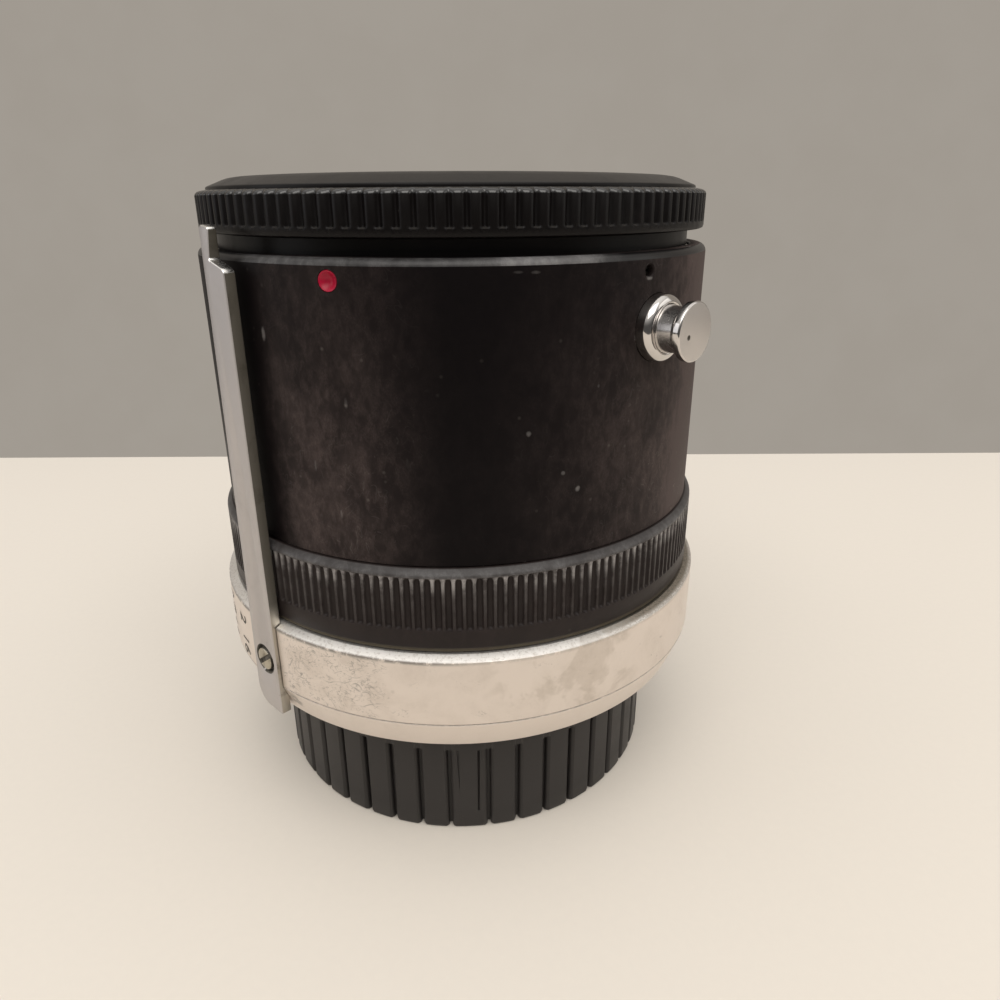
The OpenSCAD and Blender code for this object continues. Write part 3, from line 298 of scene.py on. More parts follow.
def repeat_tree():
    """Geometry nodes that repeat a strip of skin about Z and weld the copies."""
    tree = bpy.data.node_groups.get("Repeat Round Axis")
    if tree:
        return tree
    tree = bpy.data.node_groups.new("Repeat Round Axis", "GeometryNodeTree")
    inputs = {
        "Geometry": "Geometry", "Count": "Int", "Pitch": "Float", "Start": "Float",
        "Weld Distance": "Float", "Finish": "Material",
    }
    for label, kind in inputs.items():
        tree.interface.new_socket(label, in_out="INPUT", socket_type="NodeSocket" + kind)
    tree.interface.new_socket("Geometry", in_out="OUTPUT", socket_type="NodeSocketGeometry")
    given, result, places, index, step, euler, turn, copies, real, weld, coat = (
        tree.nodes.new(kind) for kind in (
            "NodeGroupInput", "NodeGroupOutput", "GeometryNodePoints", "GeometryNodeInputIndex",
            "ShaderNodeMath", "ShaderNodeCombineXYZ", "FunctionNodeEulerToRotation",
            "GeometryNodeInstanceOnPoints", "GeometryNodeRealizeInstances",
            "GeometryNodeMergeByDistance", "GeometryNodeSetMaterial"))
    step.operation = "MULTIPLY_ADD"
    joins = (
        (given, "Count", places, "Count"), (index, "Index", step, 0), (given, "Pitch", step, 1),
        (given, "Start", step, 2), (step, "Value", euler, "Z"), (euler, "Vector", turn, "Euler"),
        (places, "Points", copies, "Points"), (given, "Geometry", copies, "Instance"),
        (turn, "Rotation", copies, "Rotation"), (copies, "Instances", real, "Geometry"),
        (real, "Geometry", weld, "Geometry"), (given, "Weld Distance", weld, "Distance"),
        (weld, "Geometry", coat, "Geometry"), (given, "Finish", coat, "Material"),
        (coat, "Geometry", result, "Geometry"),
    )
    for source, output, target, socket in joins:
        tree.links.new(source.outputs[output], target.inputs[socket])
    return tree


def plain(piece):
    """Turns what the modifiers make into the piece's own mesh."""
    graph = bpy.context.evaluated_depsgraph_get()
    mesh = bpy.data.meshes.new_from_object(piece.evaluated_get(graph))
    piece.modifiers.clear()
    piece.data = mesh
    return piece


def repeat(piece, count, pitch, start, material):
    """Repeats a strip about Z with the geometry nodes."""
    tree = repeat_tree()
    modifier = piece.modifiers.new("Repeat", "NODES")
    modifier.node_group = tree
    values = {"Count": count, "Pitch": pitch, "Start": start, "Weld Distance": WELD, "Finish": material}
    for item in tree.interface.items_tree:
        if item.in_out == "INPUT" and item.name in values:
            modifier[item.identifier] = values[item.name]
    return plain(piece)


def cut(piece, *cutters):
    """Cuts the cutters out of the piece."""
    for solid in (piece, *cutters):
        close(solid, fill=False)
    for cutter in cutters:
        modifier = piece.modifiers.new("Cut", "BOOLEAN")
        modifier.operation = "DIFFERENCE"
        modifier.solver = "EXACT"
        modifier.object = cutter
    plain(piece)
    for cutter in cutters:
        bpy.data.objects.remove(cutter)
    return piece


def place(piece, matrix):
    """Moves the piece's mesh, so that the object stays at the origin."""
    piece.data.transform(matrix)
    piece.data.update()
    return piece


def join(piece, *others):
    """Adds the meshes of the others to the piece."""
    whole = bmesh.new()
    whole.from_mesh(piece.data)
    for other in others:
        whole.from_mesh(other.data)
        bpy.data.objects.remove(other)
    whole.to_mesh(piece.data)
    whole.free()
    return piece


def close(piece, fill=True):
    """Welds the seams, closes flat ends and turns all faces outwards."""
    shape = bmesh.new()
    shape.from_mesh(piece.data)
    bmesh.ops.remove_doubles(shape, verts=shape.verts, dist=WELD)
    edges = [e for e in shape.edges if e.is_boundary]
    if fill and edges:
        bmesh.ops.holes_fill(shape, edges=edges, sides=0)
    bmesh.ops.recalc_face_normals(shape, faces=shape.faces)
    shape.to_mesh(piece.data)
    shape.free()
    return piece


def bent_text(text, size, radius, azimuth, height, lift):
    """Text that runs down a ring of a radius, bent round it and lifted off it."""
    words = bpy.data.curves.new("scale_number", "FONT")
    words.body = text
    words.align_x, words.align_y = "CENTER", "CENTER"
    words.size = size
    words.resolution_u = 3
    drawn = linked("scale_number", words)
    bpy.context.view_layer.update()
    graph = bpy.context.evaluated_depsgraph_get()
    mesh = bpy.data.meshes.new_from_object(drawn.evaluated_get(graph))
    bpy.data.objects.remove(drawn)
    shape = bmesh.new()
    shape.from_mesh(mesh)
    for v in shape.verts:
        v.co = polar(radius + lift, azimuth + v.co.y / radius, height - v.co.x)
    bmesh.ops.triangulate(shape, faces=shape.faces)
    shape.to_mesh(mesh)
    shape.free()
    return linked("scale_number", mesh)


def dress(piece, name, slot, body, *nodes, sharp=34):
    """Gives a piece the named finish if it has none, smooth shading and its body, and hides the CAD nodes it
    stands for.
    """
    if not piece.data.materials or piece.data.materials[0] is None:
        piece.data.materials.clear()
        piece.data.materials.append(finish(name))
    piece.data.shade_smooth()
    piece.data.set_sharp_from_angle(angle=math.radians(sharp))
    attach(piece, body)
    if nodes:
        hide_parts(*nodes)
    return piece


def paint(piece, names, pick):
    """Gives the piece the named finishes; pick tells from a face which of them it gets."""
    piece.data.materials.clear()
    for name in names:
        piece.data.materials.append(finish(name))
    for face in piece.data.polygons:
        face.material_index = pick(face)


# Shader groups


class Nodes:
    """Short calls to add and join shader nodes in one tree."""

    def __init__(self, tree):
        self.tree = tree

    def add(self, kind, **settings):
        node = self.tree.nodes.new(kind)
        for key, value in settings.items():
            setattr(node, key, value)
        return node

    def feed(self, socket, value):
        if isinstance(value, bpy.types.NodeSocket):
            self.tree.links.new(value, socket)
        else:
            socket.default_value = value

    def fill(self, node, values):
        """Sets or joins inputs, by name or number."""
        for key, value in values.items():
            self.feed(node.inputs[key], value)
        return node

    def math(self, operation, *values, clamp=False):
        node = self.add("ShaderNodeMath", operation=operation, use_clamp=clamp)
        return self.fill(node, dict(enumerate(values))).outputs[0]

    def times(self, first, *others):
        for other in others:
            first = self.math("MULTIPLY", first, other)
        return first

    def most(self, first, *others):
        for other in others:
            first = self.math("MAXIMUM", first, other)
        return first

    def minus(self, a, b, clamp=False):
        return self.math("SUBTRACT", a, b, clamp=clamp)

    def scaled(self, value, factor, start, clamp=False):
        """The start and, added to it, the value times the factor."""
        return self.math("MULTIPLY_ADD", value, factor, start, clamp=clamp)

    def ramp(self, value, low, high, to_low=0.0, to_high=1.0):
        node = self.add("ShaderNodeMapRange", interpolation_type="SMOOTHSTEP")
        return self.fill(node, dict(enumerate((value, low, high, to_low, to_high)))).outputs["Result"]

    def window(self, value, start, full, last, end):
        """One from full to last, fading to nothing at start and at end."""
        return self.times(self.ramp(value, start, full), self.ramp(value, last, end, 1.0, 0.0))

    def over(self, tint, mask, strength, layer):
        """The tint with a layer of another colour where the mask shows it."""
        node = self.add("ShaderNodeMix", data_type="RGBA", blend_type="MIX")
        return self.fill(node, {0: self.times(mask, strength), 6: rgba(tint), 7: rgba(layer)}).outputs[2]

    def noise(self, vector, scale, detail=3.0, rough=0.55, distortion=0.0):
        node = self.add("ShaderNodeTexNoise")
        values = {"Vector": vector, "Scale": scale, "Detail": detail, "Roughness": rough}
        return self.fill(node, {**values, "Distortion": distortion}).outputs["Fac"]

    def stretch(self, vector, scale, location=(0, 0, 0)):
        values = {"Vector": vector, "Location": location, "Scale": scale}
        return self.fill(self.add("ShaderNodeMapping"), values).outputs["Vector"]

    def parts(self, vector):
        return self.fill(self.add("ShaderNodeSeparateXYZ"), {"Vector": vector}).outputs

    def spread(self, vector):
        """Azimuth in degrees from -Y towards +X and height in millimetres of each point."""
        x, y, z = self.parts(vector)
        turn = self.math("ARCTAN2", x, self.times(y, -1.0))
        return self.times(turn, 360 / TURN), self.math("DIVIDE", z, MM)

    def from_axis(self, vector):
        """Distance from the optical axis in millimetres."""
        flat = self.add("ShaderNodeVectorMath", operation="LENGTH")
        return self.fill(flat, {0: self.stretch(vector, (1 / MM, 1 / MM, 0.0))}).outputs["Value"]

    def upward(self):
        """How far the surface faces up."""
        return self.parts(self.add("ShaderNodeNewGeometry").outputs["Normal"])["Z"]

    def bump(self, height, strength, distance):
        values = {"Height": height, "Strength": strength, "Distance": distance}
        return self.fill(self.add("ShaderNodeBump"), values).outputs["Normal"]


def rgba(value):
    """An opaque colour, or the socket that gives one."""
    return value if isinstance(value, bpy.types.NodeSocket) else (value[0], value[1], value[2], 1.0)


def shader_group(name, *inputs):
    """A group that turns a vector and numbers into a mask; its ends come with it when it is new."""
    tree = bpy.data.node_groups.get(name)
    if tree:
        return tree, None, None
    tree = bpy.data.node_groups.new(name, "ShaderNodeTree")
    tree.interface.new_socket("Vector", in_out="INPUT", socket_type="NodeSocketVector")
    for label in inputs:
        tree.interface.new_socket(label, in_out="INPUT", socket_type="NodeSocketFloat")
    tree.interface.new_socket("Mask", in_out="OUTPUT", socket_type="NodeSocketFloat")
    given = tree.nodes.new("NodeGroupInput").outputs
    result = tree.nodes.new("NodeGroupOutput").inputs["Mask"]
    return tree, given, result


def use(n, tree, *values):
    """Places a group and sets or joins its inputs in their order."""
    return n.fill(n.add("ShaderNodeGroup", node_tree=tree), dict(enumerate(values))).outputs[0]


def smudges(outer, vector, scale, low, high, fine):
    """Cloudy dry smudges in patches."""
    tree, given, result = shader_group("Cloudy Smudges", "Scale", "Low", "High", "Fine")
    if given:
        n = Nodes(tree)
        patches = n.noise(given["Vector"], given["Scale"], 4.0, 0.6, 0.4)
        grit = n.noise(given["Vector"], n.times(given["Scale"], 7.0), 4.0, 0.7)
        part = n.scaled(n.minus(n.ramp(grit, 0.35, 0.75), 1.0), given["Fine"], 1.0)
        n.feed(result, n.times(n.ramp(patches, given["Low"], given["High"]), part))
    return use(outer, tree, vector, scale, low, high, fine)


def scratches(outer, vector, scale, width, cover, patch_scale):
    """Short curved hairline scratches that come in patches."""
    tree, given, result = shader_group("Hairline Scratches", "Scale", "Width", "Cover", "Patch Scale")
    if given:
        n = Nodes(tree)
        patch = n.noise(given["Vector"], given["Patch Scale"], 3.0, 0.6)
        patch = n.ramp(patch, given["Cover"], n.math("ADD", given["Cover"], 0.12))
        lines = []
        for offset, factor in (((0.0, 0.0, 0.0), 1.0), ((0.37, 0.11, 0.23), 1.7), ((0.71, 0.53, 0.3), 2.9)):
            moved = n.stretch(given["Vector"], (1, 1, 1), offset)
            field = n.noise(moved, n.times(given["Scale"], factor), 1.5, 0.5, 0.8)
            away = n.math("ABSOLUTE", n.minus(field, 0.5))
            line = n.minus(1.0, n.math("DIVIDE", away, given["Width"]), clamp=True)
            gaps = n.noise(moved, n.times(given["Scale"], 2.3), 2.0)
            lines.append(n.times(line, n.ramp(gaps, 0.5, 0.6)))
        n.feed(result, n.times(n.most(*lines), patch))
    return use(outer, tree, vector, scale, width, cover, patch_scale)


def specks(outer, vector, scale, size, cover):
    """Small dust specks and chips."""
    tree, given, result = shader_group("Dust Specks", "Scale", "Size", "Cover")
    if given:
        n = Nodes(tree)
        cells = n.add("ShaderNodeTexVoronoi", feature="F1")
        cells = n.fill(cells, {"Vector": given["Vector"], "Scale": given["Scale"]}).outputs
        dot = n.minus(1.0, n.math("DIVIDE", cells["Distance"], given["Size"]), clamp=True)
        pick = n.fill(n.add("ShaderNodeSeparateColor"), {"Color": cells["Color"]}).outputs["Red"]
        pick = n.ramp(pick, given["Cover"], n.math("ADD", given["Cover"], 0.1))
        n.feed(result, n.times(dot, pick))
    return use(outer, tree, vector, scale, size, cover)


def worn_edges(outer, vector, radius, scale, amount):
    """Edges where the finish is rubbed through."""
    tree, given, result = shader_group("Edge Wear", "Radius", "Scale", "Amount")
    if given:
        n = Nodes(tree)
        soft = n.fill(n.add("ShaderNodeBevel", samples=4), {"Radius": given["Radius"]}).outputs["Normal"]
        true = n.add("ShaderNodeNewGeometry").outputs["Normal"]
        dot = n.add("ShaderNodeVectorMath", operation="DOT_PRODUCT")
        dot = n.fill(dot, {0: soft, 1: true}).outputs["Value"]
        edge = n.ramp(n.minus(1.0, dot), 0.01, 0.12)
        rough = n.noise(given["Vector"], given["Scale"], 4.0, 0.65)
        low = n.minus(0.85, n.times(given["Amount"], 0.6))
        n.feed(result, n.times(edge, n.ramp(rough, low, n.math("ADD", low, 0.2))))
    return use(outer, tree, vector, radius, scale, amount)


# Finishes: each maker gives its shader's inputs; azimuths are in degrees and heights in millimetres


# Pale chips on the tube: azimuth in degrees, height, half width and half length in millimetres, strength
TUBE_CHIPS = (
    (-36.0, 63.1, 0.3, 0.8, 0.3), (13.5, 69.35, 0.55, 0.14, 0.08), (16.7, 69.3, 0.5, 0.16, 0.1),
    (15.7, 53.9, 0.3, 0.32, 0.22), (26.1, 47.3, 0.3, 0.34, 0.35), (22.8, 49.3, 0.25, 0.25, 0.2),
    (41.8, 68.1, 0.5, 0.22, 0.35), (61.5, 70.75, 0.5, 0.2, 0.6), (-18.0, 57.0, 0.2, 0.6, 0.1),
    (-26.0, 50.0, 0.16, 0.7, 0.14), (-21.0, 45.0, 0.14, 0.6, 0.16), (30.0, 58.0, 0.16, 0.2, 0.12),
)


def black_anodised(n, where, base, dust, rough, haze=None, rub=None, specular=0.12):
    """Black anodised metal with dry smudges and specks.

    Haze gives, from azimuth and height, where smudges lie, and rub where metal shows through. On the tube
    this smudge layer also lays a painted sheen on the right limb and a painted highlight along the rounded
    edge, and on the grip's crests the rubbed metal is partly a painted highlight."""
    azimuth, height = n.spread(where)
    upright = n.stretch(where, (1.0, 1.0, 0.6))
    dabs = smudges(n, upright, scale=240.0, low=0.36, high=0.68, fine=0.6)
    streaks = smudges(n, upright, scale=900.0, low=0.38, high=0.66, fine=0.7)
    dots = specks(n, where, scale=520.0, size=0.13, cover=0.72)
    hairs = scratches(n, upright, scale=330.0, width=0.008, cover=0.44, patch_scale=110.0)
    amount = haze(n, azimuth, height) if haze else 0.2
    # Smudge layer: dry smudges, and through the haze also the painted sheen of the tube's right limb and the
    # painted highlight of its edge.
    smudge_and_sheen = n.scaled(dabs, 0.45, n.scaled(streaks, 0.5, 0.22))
    even = n.most(n.minus(amount, 0.9), 0.0)
    smudge_and_sheen = n.scaled(even, 0.6, n.times(smudge_and_sheen, amount), clamp=True)
    tint = n.over(base, smudge_and_sheen, 1.0, dust)
    tint = n.over(tint, dots, n.scaled(amount, 0.2, 0.06), (0.3, 0.27, 0.24))
    tint = n.over(tint, hairs, n.math("MULTIPLY", amount, 0.12), (0.3, 0.27, 0.25))
    if rub:
        metal = bpy.context.scene.converter_finishes.worn_metal_and_highlight
        tint = n.over(tint, rub(n, where, azimuth, height), 1.0, metal)
    grain = n.noise(where, 5200.0, 2.0)
    return {
        "Base Color": tint,
        "Roughness": n.scaled(n.minus(grain, 0.5), 0.12, n.scaled(smudge_and_sheen, 0.12, rough)),
        "Normal": n.bump(grain, 0.12, 0.00004),
        "Specular IOR Level": specular,
    }


def tube_smudges_and_sheen(n, azimuth, height):
    """Handled parts of the tube: its left, its right and more of it lower down; little at the back. On the
    right limb the haze is partly a painted sheen, and the dark band beside the arm is a painted shadow of the
    arm.
    """
    # The haze fades in only from -40 to -31 degrees: the dark band beside the arm is a painted shadow of the
    # arm.
    left = n.window(azimuth, -40, -31, -20, 2)
    right = n.times(n.window(azimuth, 6, 60, 78, 125), 1.25)
    # Extra haze on the right limb: a painted sheen where the limb catches light at a grazing angle.
    right = n.scaled(n.window(azimuth, 50, 66, 78, 115), 0.9, right)
    back = n.ramp(n.math("ABSOLUTE", azimuth), 70, 120, 0.05, 0.3)
    low = n.ramp(height, 70.0, 48.0, 0.4, 1.0)
    # Beside the right limb the haze stays strong at every height, as part of the same painted sheen.
    low = n.most(low, n.times(n.window(azimuth, 30, 50, 78, 125), 0.85))
    return n.times(low, n.scaled(n.most(left, right), 0.9, back))


def edge_highlight_and_wear(n, azimuth, height):
    """The tube's upper edge is grey in front, most to the right of the middle: a painted highlight along the
    rounded edge, with some rubbed wear.
    """
    front = n.times(n.window(azimuth, -46, -32, 24, 34), n.ramp(azimuth, -26, -6, 0.75, 0.45))
    return n.most(front, n.times(n.window(azimuth, 4, 14, 26, 36), 1.25))


def chamfer_haze(n, azimuth, height):
    """The grip's chamfer is grey, most along its lower edge and least at its top beside the tube."""
    return n.ramp(height, 39.6, 39.0, 0.4, 0.85)


def edge_rub(n, where, azimuth, height):
    """Edges rubbed through to the metal in spots."""
    return worn_edges(n, where, radius=0.18 * MM, scale=900.0, amount=0.5)


def tube_rub(n, where, azimuth, height):
    """Rubbed edges and a few pale chips."""
    tube_radius = 31.0
    worn = edge_rub(n, where, azimuth, height)
    ragged = n.times(n.noise(where, 2600.0, 2.0), 1.2)
    for chip_azimuth, chip_height, wide, long, strong in TUBE_CHIPS:
        across = n.math("DIVIDE", n.minus(azimuth, chip_azimuth), math.degrees(wide / tube_radius))
        along = n.math("DIVIDE", n.minus(height, chip_height), long)
        far = n.scaled(across, across, n.scaled(along, along, ragged))
        worn = n.most(worn, n.ramp(far, 1.9, 0.5, 0.0, strong))
    return worn


def grip_wear_and_highlight(n, where, azimuth, height):
    """Crests of the grip in pale metal, palest at their upper ends: wear, and a painted highlight where light
    catches the crest tops.
    """
    crest = n.ramp(n.from_axis(where), 31.5, 31.78)
    ribbed = n.window(height, 32.4, 32.9, 38.6, 38.95)
    # Palest at the crests' upper ends and fading downward: a painted highlight.
    high = n.scaled(n.ramp(height, 36.4, 38.5), 0.75, n.ramp(height, 33.0, 37.0, 0.05, 0.16))
    patchy = n.ramp(n.noise(where, 420.0, 5.0, 0.7), 0.32, 0.66, 0.1, 1.0)
    return n.times(crest, ribbed, high, patchy)


def satin_silver(n, where, base, stain, dirt):
    """Satin aluminium with stains, dark hair scratches and dirt along its edges, a painted highlight on its
    upper chamfer and a painted dark reflection on the chamfer's right side.
    """
    azimuth, height = n.spread(where)
    wall = n.ramp(height, 20.95, 21.3)
    bevel = n.ramp(height, 29.05, 29.2)
    left = n.window(azimuth, -40, -35, -20, -4)
    right = n.window(azimuth, 4, 12, 34, 46)
    ragged = n.noise(where, 1100.0, 4.0, 0.7)
    blotches = smudges(n, where, scale=130.0, low=0.5, high=0.57, fine=0.3)
    clouds = smudges(n, where, scale=260.0, low=0.4, high=0.7, fine=0.5)
    cover = n.scaled(left, -0.26, 0.6)
    marks = scratches(n, where, scale=170.0, width=0.011, cover=cover, patch_scale=170.0)
    turned = n.stretch(where, (1.0, 1.0, 1.6), (0.013, 0.007, 0.021))
    fine = scratches(n, turned, scale=520.0, width=0.03, cover=cover, patch_scale=240.0)
    marks = n.most(marks, n.times(fine, 0.75))
    pits = specks(n, where, scale=620.0, size=0.2, cover=0.94)
    spots = specks(n, where, scale=300.0, size=0.16, cover=0.9)
    seam = n.times(
        n.window(height, 28.62, 29.0, 29.1, 29.22), n.ramp(ragged, 0.34, 0.52),
        n.scaled(n.window(azimuth, -140, -90, -8, 8), 0.7, 0.3))
    line = n.times(n.window(height, 20.75, 20.88, 20.98, 21.1), n.ramp(ragged, 0.3, 0.6, 0.3, 1.0))
    # Corner: a dark olive band on the inner part of the chamfer's right side, a painted dark reflection of
    # darker surroundings.
    corner = n.times(n.ramp(n.from_axis(where), 32.7, 32.2), n.window(azimuth, 22, 46, 90, 140), bevel)
    thumb = n.times(
        n.window(azimuth, -38.6, -37.2, -35.8, -34.2), n.window(height, 18.2, 18.9, 19.8, 20.6),
        n.ramp(ragged, 0.36, 0.56))
    # Rubbed: stain-coloured speckles on the chamfer's right side, part of the same painted dark reflection.
    rubbed = n.times(
        n.window(azimuth, 26, 44, 90, 140), bevel, n.ramp(n.noise(where, 3600.0, 3.0, 0.7), 0.34, 0.6))
    sparkle = n.ramp(n.noise(where, 3000.0, 2.0, 0.6), 0.5, 0.66, 0.0, 0.3)
    spoiled = n.most(
        n.times(marks, wall, n.scaled(bevel, -0.7, 0.7)), n.times(n.most(pits, spots), wall),
        n.times(line, 0.5), n.times(seam, 0.85), n.times(thumb, 0.6))
    tint = n.over(base, clouds, n.scaled(left, 0.16, n.scaled(wall, 0.14, 0.04)), stain)
    # The upper chamfer is painted near-white as a painted highlight, broken up by flecks of stain colour
    # where the sparkle grain shows.
    tint = n.over(tint, bevel, 1.0, (0.94, 0.91, 0.87))
    tint = n.over(tint, sparkle, bevel, stain)
    tint = n.over(tint, corner, 0.9, (0.12, 0.105, 0.075))
    tint = n.over(tint, n.times(blotches, right, wall), 0.36, stain)
    tint = n.over(tint, rubbed, 0.65, stain)
    tint = n.over(tint, spoiled, 0.8, dirt)
    grain = n.noise(where, 4200.0, 2.0)
    tone = n.scaled(n.minus(grain, 0.5), 0.16, n.scaled(clouds, 0.06, 0.4))
    return {
        "Base Color": tint,
        "Metallic": n.scaled(spoiled, -0.8, 0.9),
        "Roughness": n.scaled(spoiled, 0.25, tone),
        "Normal": n.bump(n.scaled(marks, -0.8, n.times(grain, 0.35)), 0.25, 0.00004),
    }


def plated(n, where, base, rough, smudge, dirt=None, grimy_above=None):
    """Plated metal with a faint haze, fine scuffs and, if wanted, dirt, thickest above a height."""
    metal = 1.0
    haze = smudges(n, where, scale=160.0, low=0.42, high=0.75, fine=0.4)
    scuffs = scratches(n, where, scale=420.0, width=0.006, cover=0.48, patch_scale=140.0)
    dull = [part * share for part, share in zip(base, (0.62, 0.6, 0.57))]
    tint = n.over(base, haze, smudge, dull)
    tint = n.over(tint, scuffs, 0.3, (0.3, 0.29, 0.27))
    if dirt is not None:
        grime = smudges(n, where, scale=230.0, low=0.5, high=0.62, fine=0.6)
        tint = n.over(tint, grime, 0.75, dirt)
    if grimy_above is not None:
        thick = n.ramp(n.spread(where)[1], grimy_above - 1.5, grimy_above + 1.5, 0.0, 0.9)
        tint = n.over(tint, thick, 1.0, dirt)
        metal = n.minus(1.0, thick)
    return {
        "Base Color": tint,
        "Metallic": metal,
        "Roughness": n.scaled(scuffs, 0.12, n.scaled(haze, 0.1, rough)),
        "Normal": n.bump(n.noise(where, 3800.0, 2.0), 0.04, 0.00003),
    }


def moulded(n, where, base, rough, dust, specular, top_dust_and_sheen, grain_scale=2600.0, grain=0.1):
    """Moulded plastic with fine grain, scuffed edges and dust; faces that look up are lighter, partly from
    dust fallen on top and partly as a painted sheen of the light from above.
    """
    haze = smudges(n, where, scale=130.0, low=0.45, high=0.75, fine=0.5)
    dots = specks(n, where, scale=900.0, size=0.12, cover=0.86)
    worn = worn_edges(n, where, radius=0.16 * MM, scale=700.0, amount=0.3)
    tint = n.over(base, haze, 0.3, dust)
    # Upward faces lighter grey: fallen dust, and a painted sheen of the light from above.
    tint = n.over(tint, n.ramp(n.upward(), 0.55, 0.92), top_dust_and_sheen, (0.12, 0.11, 0.1))
    tint = n.over(tint, dots, 0.2, (0.24, 0.22, 0.2))
    tint = n.over(tint, worn, 0.3, (0.12, 0.115, 0.11))
    texture = n.noise(where, grain_scale, 3.0, 0.6)
    return {
        "Base Color": tint,
        "Roughness": n.scaled(n.minus(texture, 0.5), 0.1, n.scaled(haze, 0.14, rough)),
        "Normal": n.bump(texture, grain, 0.00005),
        "Specular IOR Level": specular,
    }


def enamel(n, where, base):
    """Paint in a drilled dimple, darker where dirt has settled."""
    grime = smudges(n, where, scale=700.0, low=0.5, high=0.75, fine=0.4)
    return {
        "Base Color": n.over(base, grime, 0.6, (0.08, 0.008, 0.015)),
        "Roughness": n.scaled(grime, 0.2, 0.3),
        "Specular IOR Level": 0.25,
    }


def print_ink(n, where, base):
    """Printed or engraved black, rubbed thin in places."""
    rubbed = smudges(n, where, scale=900.0, low=0.45, high=0.7, fine=0.5)
    return {"Base Color": n.over(base, rubbed, 0.6, (0.3, 0.28, 0.25)), "Roughness": 0.6}


def coated_glass(n, where):
    """Coated optical glass."""
    bloom = n.noise(where, 90.0, 2.0)
    return {
        "Base Color": n.over((0.78, 0.84, 0.9), n.ramp(bloom, 0.35, 0.65), 1.0, (0.86, 0.82, 0.9)),
        "Roughness": n.ramp(bloom, 0.3, 0.7, 0.02, 0.05),
        "Transmission Weight": 1.0,
        "IOR": 1.62,
        "Coat Weight": 0.6,
        "Coat Tint": (0.6, 0.45, 0.9, 1),
    }


def pale_floor(n, where, base):
    """Matt floor with a faint weave."""
    weave = n.ramp(n.noise(where, 900.0, 4.0), 0.3, 0.7, 0.0, 0.06)
    return {
        "Base Color": n.over(base, weave, 1.0, (0.6, 0.56, 0.52)),
        "Roughness": 0.9,
        "Specular IOR Level": 0.1,
    }


def plain_backdrop(n, where, base):
    """Even backdrop that shows from its front only and throws no light."""
    felt = n.ramp(n.noise(where, 60.0, 5.0), 0.3, 0.7, 0.0, 0.12)
    rays = n.add("ShaderNodeLightPath").outputs
    seen = n.math("ADD", rays["Is Camera Ray"], rays["Is Glossy Ray"])
    seen = n.math("ADD", seen, rays["Is Transmission Ray"], clamp=True)
    away = n.add("ShaderNodeNewGeometry").outputs["Backfacing"]
    return {
        "Base Color": (0, 0, 0, 1),
        "Specular IOR Level": 0.0,
        "Emission Color": n.over(base, felt, 1.0, (0.42, 0.39, 0.35)),
        "Emission Strength": 1.0,
        "Alpha": n.times(seen, n.minus(1.0, away)),
    }


def finish(name):
    """The named finish, made on first use."""
    made = bpy.data.materials.get(name)
    if made:
        return made
    c = bpy.context.scene.converter_finishes
    cap_dust = (0.01, 0.0085, 0.0085)
    makers = {
        "Tube Black": (black_anodised, c.tube_black, c.dust_and_sheen_brown, 0.45, tube_smudges_and_sheen, tube_rub, 0.06),
        "Tube Edge": (black_anodised, c.tube_black, c.edge_grey, 0.34, edge_highlight_and_wear, edge_rub, 0.3),
        "Grip Black": (black_anodised, c.grip_black, c.dust_and_sheen_brown, 0.4, None, grip_wear_and_highlight),
        "Grip Edge": (black_anodised, c.grip_black, c.edge_grey, 0.4, chamfer_haze, edge_rub, 0.3),
        "Dusty Neck": (black_anodised, c.neck_brown, c.dust_and_sheen_brown, 0.5),
        "Inner Black": (black_anodised, (0.012, 0.0115, 0.0115), c.dust_and_sheen_brown, 0.55, None, edge_rub),
        "Satin Silver": (satin_silver, c.silver, c.stain, c.dirt),
        "Arm Chrome": (plated, c.chrome, 0.5, 0.14),
        "Arm Edge": (plated, (0.45, 0.42, 0.37), 0.42, 0.5, c.dirt, 31.0),
        "Arm Polished Highlight": (plated, (0.9, 0.88, 0.85), 0.24, 0.1),
        "Screw Nickel": (plated, (0.46, 0.42, 0.34), 0.35, 0.6, c.dirt),
        "Polished Chrome": (plated, (0.6, 0.575, 0.555), 0.09, 0.2),
        "Button Waist": (plated, (0.7, 0.67, 0.65), 0.2, 0.12),
        "Button Face": (plated, (0.58, 0.55, 0.53), 0.34, 0.1),
        "Mount Chrome": (plated, (0.74, 0.73, 0.71), 0.2, 0.25),
        "Plain Steel": (plated, (0.5, 0.49, 0.47), 0.3, 0.3),
        "Dark Steel": (plated, (0.07, 0.065, 0.06), 0.4, 0.3),
        "Spring Steel": (plated, (0.56, 0.54, 0.5), 0.24, 0.2),
        "Turned Brass": (plated, (0.62, 0.48, 0.24), 0.3, 0.3),
        "Front Cap Gloss": (moulded, c.cap_gloss, 0.34, cap_dust, 0.13, 0.2, 1800.0, 0.06),
        "Front Cap Shoulder": (moulded, c.cap_gloss, 0.14, cap_dust, 0.7, 0.1, 1800.0, 0.04),
        "Rear Cap Satin": (moulded, c.cap_satin, 0.46, (0.05, 0.045, 0.042), 0.36, 0.1),
        "Index Red": (enamel, c.index_red),
        "Scale Ink": (print_ink, c.dirt),
        "Coated Glass": (coated_glass,),
        "Pale Floor": (pale_floor, c.floor),
        "Plain Backdrop": (plain_backdrop, c.backdrop),
    }
    maker, *values = makers[name]
    material = bpy.data.materials.new(name)
    material.use_nodes = True
    material.node_tree.nodes.clear()
    n = Nodes(material.node_tree)
    shader = n.add("ShaderNodeBsdfPrincipled")
    n.fill(n.add("ShaderNodeOutputMaterial"), {"Surface": shader.outputs["BSDF"]})
    where = n.add("ShaderNodeTexCoord").outputs["Object"]
    n.fill(shader, maker(n, where, *values))
    return material


# Operators


